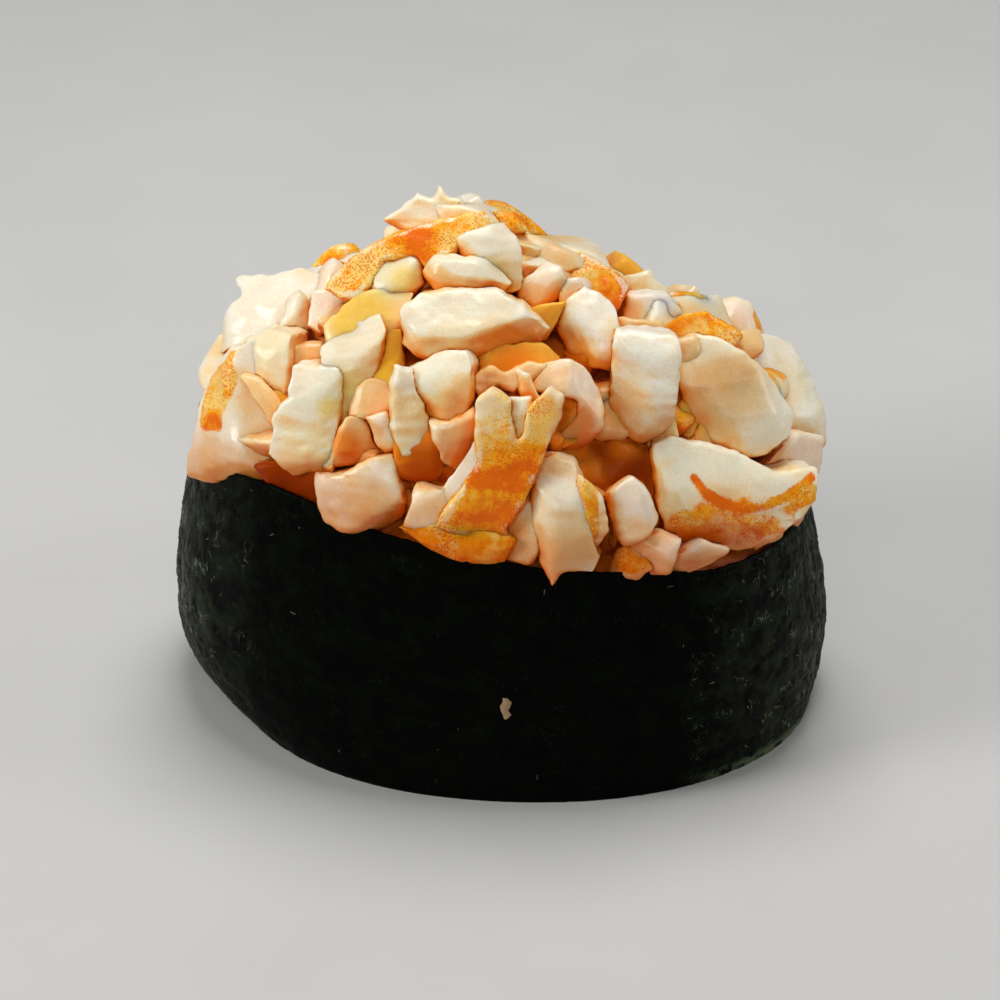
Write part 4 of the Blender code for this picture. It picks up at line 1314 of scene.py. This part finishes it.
thinFlakes = [
    dict(at=(-73, 54, 0.6), looks=(-95, 10), depth=0.9, tone="white", cuts=(), flare=0.1,
         outline=[(-0.8, 1.4), (-0.3, 1.3), (0.2, 0.2), (0.8, -0.9), (0.6, -2), (0, -1.2),
                  (-0.5, 0)]),
    dict(at=(-77, 57, -0.4), looks=(-80, 30), depth=1.4, tone="tan", cuts=(), flare=0.1,
         outline=[(-3.4, -0.7), (-1.8, 0.5), (-0.4, 0), (1.6, 1), (3, 0.8), (1.8, -0.1), (0.2, -1),
                  (-1.2, -0.3), (-2.6, -1.5)]),
    dict(at=(-77, 46, 1.5), looks=(-88, 12), depth=2, tone="white", cuts=(), crown=0.2,
         outline=[(-1, 1.9), (0.9, 2), (1.1, 0), (0.5, -2.2), (-0.4, -1.6), (-1, 0)]),
    dict(at=(176, 86, 0.6), looks=(-85, 30), depth=1.2, tone="white", soften=2, edge=0.35,
         flare=0.1, crown=0.1, cuts=(),
         outline=[(-4, -0.9), (-2.7, 0.1), (-1.5, 1.2), (-0.6, 0.8), (0, 0.5), (0.4, 1.8),
                  (1.1, 1), (2.2, 0.9), (3, -0.1), (3.1, -0.7), (1.7, -1.1), (-0.5, -1.8),
                  (-2.4, -1.5)]),
    dict(at=(174, 76, 0.2), looks=(-120, 45), depth=2, tone="cool", soften=2, edge=0.4,
         outline=[(-2.1, -1.5), (-1.7, -0.8), (-0.4, -0.4), (0.4, 1.1), (1.5, 2.2), (2.7, 2.2),
                  (1, 0.1), (-1.4, -2.7)]),
    dict(at=(-101, 43, 0.3), looks=(-70, 12), depth=2.4, tone="white", cuts=(), flare=0.1,
         outline=[(-0.3, 3.4), (0.5, 3), (1, 0.8), (1.7, -1.4), (2.1, -3.2), (1.3, -4),
                  (-0.4, -3.7), (-1, -1.4), (-0.8, 1.4)]),
    dict(at=(-104, 34, -0.3), looks=(-80, 10), depth=2.5, tone="pink", edge=0.5,
         outline=[(-1.4, 1.2), (0.1, 1.7), (0.6, 0.8), (1.1, -1), (0.3, -1.7), (-0.7, -1)]),
]


def layPieces(rows, seed, voxel):
    parts = []
    for index, row in enumerate(rows):
        settings = {k: v for k, v in row.items() if k not in ("at", "looks")}
        part = chopPiece(seed + index, voxel, **settings)
        around, climb, stand = row["at"]
        axes = frameOf(*row["looks"])
        spot = heapPoint(around, climb) + axes @ Vector((0, 0, stand))
        parts.append(placePart(part, spot, axes))
    return parts


laid = {}
for title, rows, seed, voxel in (
        ("meatBlocks", meatBlocks, 100, 0.24), ("meatBits", meatBits, 200, 0.27),
        ("skinPieces", skinPieces, 300, 0.24), ("amberPieces", amberPieces, 500, 0.26),
        ("thinFlakes", thinFlakes, 700, 0.22)):
    laid[title] = meshOf(title, layPieces(rows, seed, voxel))
    print(title + ":", len(rows), "pieces,", len(laid[title].polygons), "faces")


# ---- the heap's core and the pieces over its back

coreShape = {
    "depth": 2.8,
    "lump": 1.1,
    "lumpSize": 4.0,
    "fine": 0.5,
    "fineSize": 1.5,
    "steps": 230,
    "climbs": 64,
    # painted shade: the core's tone is darkened to this share
    "bright": 0.6,
    "aboveRice": 2.2,
    "wallGap": 0.4,
    "belowRim": 1.2,
}


def makeHeapCore():
    rings = []
    angles = [360 * step / coreShape["steps"] for step in range(coreShape["steps"])]
    riceLevel = riceShape["top"] + coreShape["aboveRice"]

    def inWall(angle, height):
        return wallPoint(angle, height, innerGap(angle) + coreShape["wallGap"])

    around = [math.radians(a) for a in angles]
    for share in (0.4, 0.8, 1.0):
        rings.append(shrunk([inWall(angle, riceLevel) for angle in around], share, riceLevel))
    for share in (0.33, 0.66, 1.0):
        rims = [rimHeight(angle) - coreShape["belowRim"] for angle in around]
        rings.append([inWall(angle, riceLevel + (rim - riceLevel) * share)
                      for angle, rim in zip(around, rims)])
    shrink = 1 - coreShape["depth"] / bandShape["halfWidth"]
    for step in range(1, coreShape["climbs"]):
        climb = 89.0 * step / coreShape["climbs"]
        ring = []
        for a in angles:
            p = heapPoint(a, climb)
            sink = coreShape["depth"] * math.sin(math.radians(climb))
            spot = Vector((p.x * shrink, p.y * shrink, p.z - sink))
            lump = noise.noise(spot / coreShape["lumpSize"]) * coreShape["lump"]
            lump += noise.noise(spot / coreShape["fineSize"]) * coreShape["fine"]
            outward = Vector((spot.x, spot.y, (spot.z - 22) * 1.5)).normalized()
            ring.append(spot + outward * lump)
        rings.append(ring)
    mesh = ringMesh([[p * mm for p in ring] for ring in rings])
    count = len(mesh.vertices)
    points = readPoints(mesh) / mm
    shift = smoothStep(noiseField(points, 3.0, np.array([4.0, 9.0, 2.0])), -0.4, 0.4)[:, None]
    tone = blend(np.array(tones["deep"][:3]), tones["orange"][:3], shift)
    # painted shade: the core's tone is painted darker, as it shows only deep in the gaps
    writeAttributes(mesh, tone * coreShape["bright"], np.zeros(count), np.zeros(count))
    mesh.shade_smooth()
    mesh.materials.append(meatMaterial)
    return mesh


looseShape = {"length": (0.75, 1.15), "width": (0.55, 0.85), "reach": (0.85, 1.1), "thick": 0.6}


def looseVariants(name, seed, names, long, voxel, skinned, bright):
    # loose blanks to strew: squarish blocks and slabs, some with skin
    group = bpy.data.collections.new(name)
    for index, tone in enumerate(names):
        dice = random.Random(seed + index)
        length = dice.uniform(*looseShape["length"]) * long
        width = length * dice.uniform(*looseShape["width"])
        corners = []
        count = dice.choice((5, 6, 7, 8))
        for step in range(count):
            angle = 2 * math.pi * (step + dice.uniform(-0.25, 0.25)) / count
            reach = dice.uniform(*looseShape["reach"])
            corners.append((length / 2 * reach * math.cos(angle),
                            width / 2 * reach * math.sin(angle)))
        skin = [(length * 0.4, 0, length * 0.35, width), (0, width * 0.5, length, width * 0.2)]
        skin = skin if index in skinned else []
        heart = ("tan", 0, 0, 2.4) if index % 3 == 0 else None
        depth = dice.uniform(0.85, 1.15) * looseShape["thick"] * long
        part = chopPiece(seed + index, voxel, corners, depth, tone, heart=heart, skin=skin,
                         soften=dice.choice((1, 1, 2)), bright=bright)
        part["points"] = part["points"] * mm
        item = bpy.data.objects.new(name + str(index), meshOf(name, [part]))
        group.objects.link(item)
    return group


openGaps = [(-54, 36, 4.4), (-76, 56, 2.6), (-64, 46, 2.2), (-122, 6, 3.0), (-98, 28, 2.0)]


def makeBed(name, first, last, lowest):
    # the part of the heap's surface that pieces are strewn on, less its open gaps
    gaps = [(heapPoint(around, climb), radius) for around, climb, radius in openGaps]
    shape = bmesh.new()
    columns = []
    for around in range(first, last, 4):
        columns.append([shape.verts.new(heapPoint(around, climb) * mm)
                        for climb in range(lowest, 89, 4)])
    for near, far in zip(columns, columns[1:]):
        for row in range(len(near) - 1):
            middle = (near[row].co + far[row + 1].co) / 2 / mm
            if all((middle - centre).length > radius for centre, radius in gaps):
                shape.faces.new((near[row], far[row], far[row + 1], near[row + 1]))
    mesh = bpy.data.meshes.new(name)
    shape.to_mesh(mesh)
    shape.free()
    return mesh


def makeStrewTree():
    inputs = namedInputs("gap", "sink", "smallest", "largest", "tumble")
    inputs["pieces"] = ("NodeSocketCollection", None)
    tree, g = newGeometryTree("strewTree", inputs)
    points = scatterPoints(tree, g, {"Distance Min": g["gap"], "Density Max": 200000.0},
                           distribute_method="POISSON")
    drop = addNode(tree, "ShaderNodeVectorMath",
                   {0: points.outputs["Normal"], "Scale": g["sink"] * -1.0}, operation="SCALE")
    sunk = addNode(tree, "GeometryNodeSetPosition",
                   {"Geometry": points.outputs["Points"], "Offset": drop.outputs[0]})
    picked = addNode(tree, "GeometryNodeCollectionInfo",
                     {0: g["pieces"], "Separate Children": True, "Reset Children": True})
    lean = joinXYZ(tree, g["tumble"], g["tumble"], math.pi)
    back = addNode(tree, "ShaderNodeVectorMath", {0: lean, "Scale": -1.0}, operation="SCALE")
    strewn = strewOn(tree, g, points, sunk.outputs[0], picked.outputs[0], back.outputs[0], lean,
                     randomSize(tree, g, g["smallest"], g["largest"]), pick=True)
    return endTree(tree, g, strewn)


strewTree = makeStrewTree()
backSet = {
    "bed": ("backBed", -5, 196, 0),
    "names": ["white", "cream", "cool", "pink", "white", "tan", "cream", "white", "lilac",
              "cream", "amber", "white"],
    "blanks": {"name": "backBlank", "long": 8.6, "voxel": 0.48, "skinned": (1, 5, 7),
               "bright": 1.0, "seed": 900},
    "strew": {"gap": 4.5 * mm, "sink": 0.5 * mm, "smallest": 0.7, "largest": 1.25,
              "tumble": 0.4, "seed": 21},
}
frontSet = {
    "bed": ("frontBed", -170, 16, 4),
    "names": ["tan", "amber", "cream", "orange", "amber", "tan", "pink", "orange", "tan",
              "amber"],
    "blanks": {"name": "smallBlank", "long": 5.4, "voxel": 0.38, "skinned": (3,),
               "bright": 0.9, "seed": 1100},
    "strew": {"gap": 3.1 * mm, "sink": 2.2 * mm, "smallest": 0.8, "largest": 1.15,
              "tumble": 0.5, "seed": 8},
}
for title, parts in (("backPieces", backSet), ("smallPieces", frontSet)):
    blanks = looseVariants(names=parts["names"], **parts["blanks"])
    laid[title] = runGeometry(title, strewTree, start=makeBed(*parts["bed"]), pieces=blanks,
                              material=meatMaterial, **parts["strew"])
    print(title + ":", len(laid[title].polygons), "faces")
laid["heapCore"] = makeHeapCore()


# ---- how deep in the heap each point lies, for the painted warm shade of the gaps

cavityShape = {
    "rays": 10,
    "reach": 7.0 * mm,
    "lift": 0.12 * mm,      # a ray starts this far off the surface
    "flattest": 0.15,       # rays rise at least this steeply
    "lowBand": 5.0,         # mm above the rim that counts as low
    "seed": 2,
}


def measureCavity(meshes):
    points, faces, base = [], [], 0
    for mesh in meshes:
        points.append(readPoints(mesh))
        faces.extend([[base + index for index in face.vertices] for face in mesh.polygons])
        base += len(points[-1])
    tree = BVHTree.FromPolygons(np.concatenate(points).tolist(), faces)
    dice = random.Random(cavityShape["seed"])
    rays = []
    while len(rays) < cavityShape["rays"]:
        ray = Vector([dice.uniform(-1, 1) for _ in range(3)])
        if 0.1 < ray.length < 1 and ray.z > cavityShape["flattest"] * ray.length:
            rays.append(ray.normalized())
    for mesh in meshes:
        spots, normals = readPoints(mesh), readPoints(mesh, "normal")
        hidden = np.zeros(len(spots), np.float32)
        angles = np.arctan2(spots[:, 1] / bandShape["halfWidth"],
                            spots[:, 0] / bandShape["halfLength"])
        rim = np.array([rimHeight(angle) for angle in angles])
        low = 1 - smoothStep(spots[:, 2] / mm - rim, 0.0, cavityShape["lowBand"])
        for index, (spot, normal) in enumerate(zip(spots, normals)):
            up = Vector(normal)
            start = Vector(spot) + up * cavityShape["lift"]
            turn = up.to_track_quat("Z", "Y")
            hits = sum(tree.ray_cast(start, turn @ ray, cavityShape["reach"])[0] is not None
                       for ray in rays)
            hidden[index] = hits / len(rays)
        writeNumbers(mesh, upward=normals[:, 2], low=low, cavity=hidden)


measureCavity(list(laid.values()))
for title, mesh in laid.items():
    putPiece(title, mesh, "shellfish_heap")
print("gaps measured")


# ---- floor, light and camera

def makeFloor():
    shape = bmesh.new()
    bmesh.ops.create_grid(shape, x_segments=2, y_segments=2, size=1.5)
    mesh = bpy.data.meshes.new("studioFloor")
    shape.to_mesh(mesh)
    shape.free()
    material, tree, shader = newMaterial("paleFloor")
    tint = noiseAt(tree, objectSpot(tree, 30), 4.0)
    dress(tree, shader, Roughness=0.75,
          BaseColor=blendColour(tree, tint, srgb(196, 196, 194), srgb(208, 208, 207)))
    mesh.materials.append(material)
    item = bpy.data.objects.new("studioFloor", mesh)
    bpy.context.scene.collection.objects.link(item)


def addLamp(name, spot, aim, size, power, colour):
    lamp = bpy.data.lights.new(name, "AREA")
    lamp.shape = "DISK"
    lamp.size = size
    lamp.energy = power
    lamp.color = colour
    item = bpy.data.objects.new(name, lamp)
    item.location = spot
    item.rotation_euler = (Vector(aim) - Vector(spot)).to_track_quat("-Z", "Y").to_euler()
    bpy.context.scene.collection.objects.link(item)


studio = {
    "top": ((0.0, 0.10, 0.40), 0.24, 1.02, (1.0, 0.99, 0.97)),
    "left": ((-0.36, -0.20, 0.22), 0.20, 1.0, (1.0, 0.98, 0.95)),
    "right": ((0.42, 0.02, 0.20), 0.20, 0.32, (0.98, 0.98, 1.0)),
    "front": ((0.05, -0.5, 0.35), 0.30, 0.54, (1.0, 0.98, 0.95)),
    "world": 0.14,
}
cameraSet = {"elevation": 30.0, "azimuth": 9.0, "distance": 0.34, "lens": 133.4,
             "aim": (0.0, 0.0, 0.012), "rise": 0.0055}


def makeStudio():
    aim = (0, 0, 0.025)
    for name in ("top", "left", "right", "front"):
        spot, size, power, colour = studio[name]
        addLamp(name + "Lamp", spot, aim, size, power, colour)
    world = bpy.data.worlds.new("studioAir")
    world.use_nodes = True
    world.node_tree.nodes["Background"].inputs[0].default_value = (0.95, 0.97, 1.0, 1.0)
    world.node_tree.nodes["Background"].inputs[1].default_value = studio["world"]
    bpy.context.scene.world = world
    bpy.context.scene.view_settings.view_transform = "Standard"


def makeCamera():
    turn, tilt = math.radians(cameraSet["azimuth"]), math.radians(cameraSet["elevation"])
    back = Vector((math.sin(turn) * math.cos(tilt), -math.cos(turn) * math.cos(tilt),
                   math.sin(tilt)))
    up = Vector((-math.sin(turn) * math.sin(tilt), math.cos(turn) * math.sin(tilt),
                 math.cos(tilt)))
    aim = Vector(cameraSet["aim"])
    spot = aim + back * cameraSet["distance"]
    target = aim + up * cameraSet["rise"]
    data = bpy.data.cameras.new("viewer")
    data.lens = cameraSet["lens"]
    data.sensor_width = 36.0
    data.clip_start = 0.01
    item = bpy.data.objects.new("viewer", data)
    item.location = spot
    item.rotation_euler = (target - spot).to_track_quat("-Z", "Y").to_euler()
    bpy.context.scene.collection.objects.link(item)
    bpy.context.scene.camera = item


makeFloor()
makeStudio()
makeCamera()
print("studio ready")
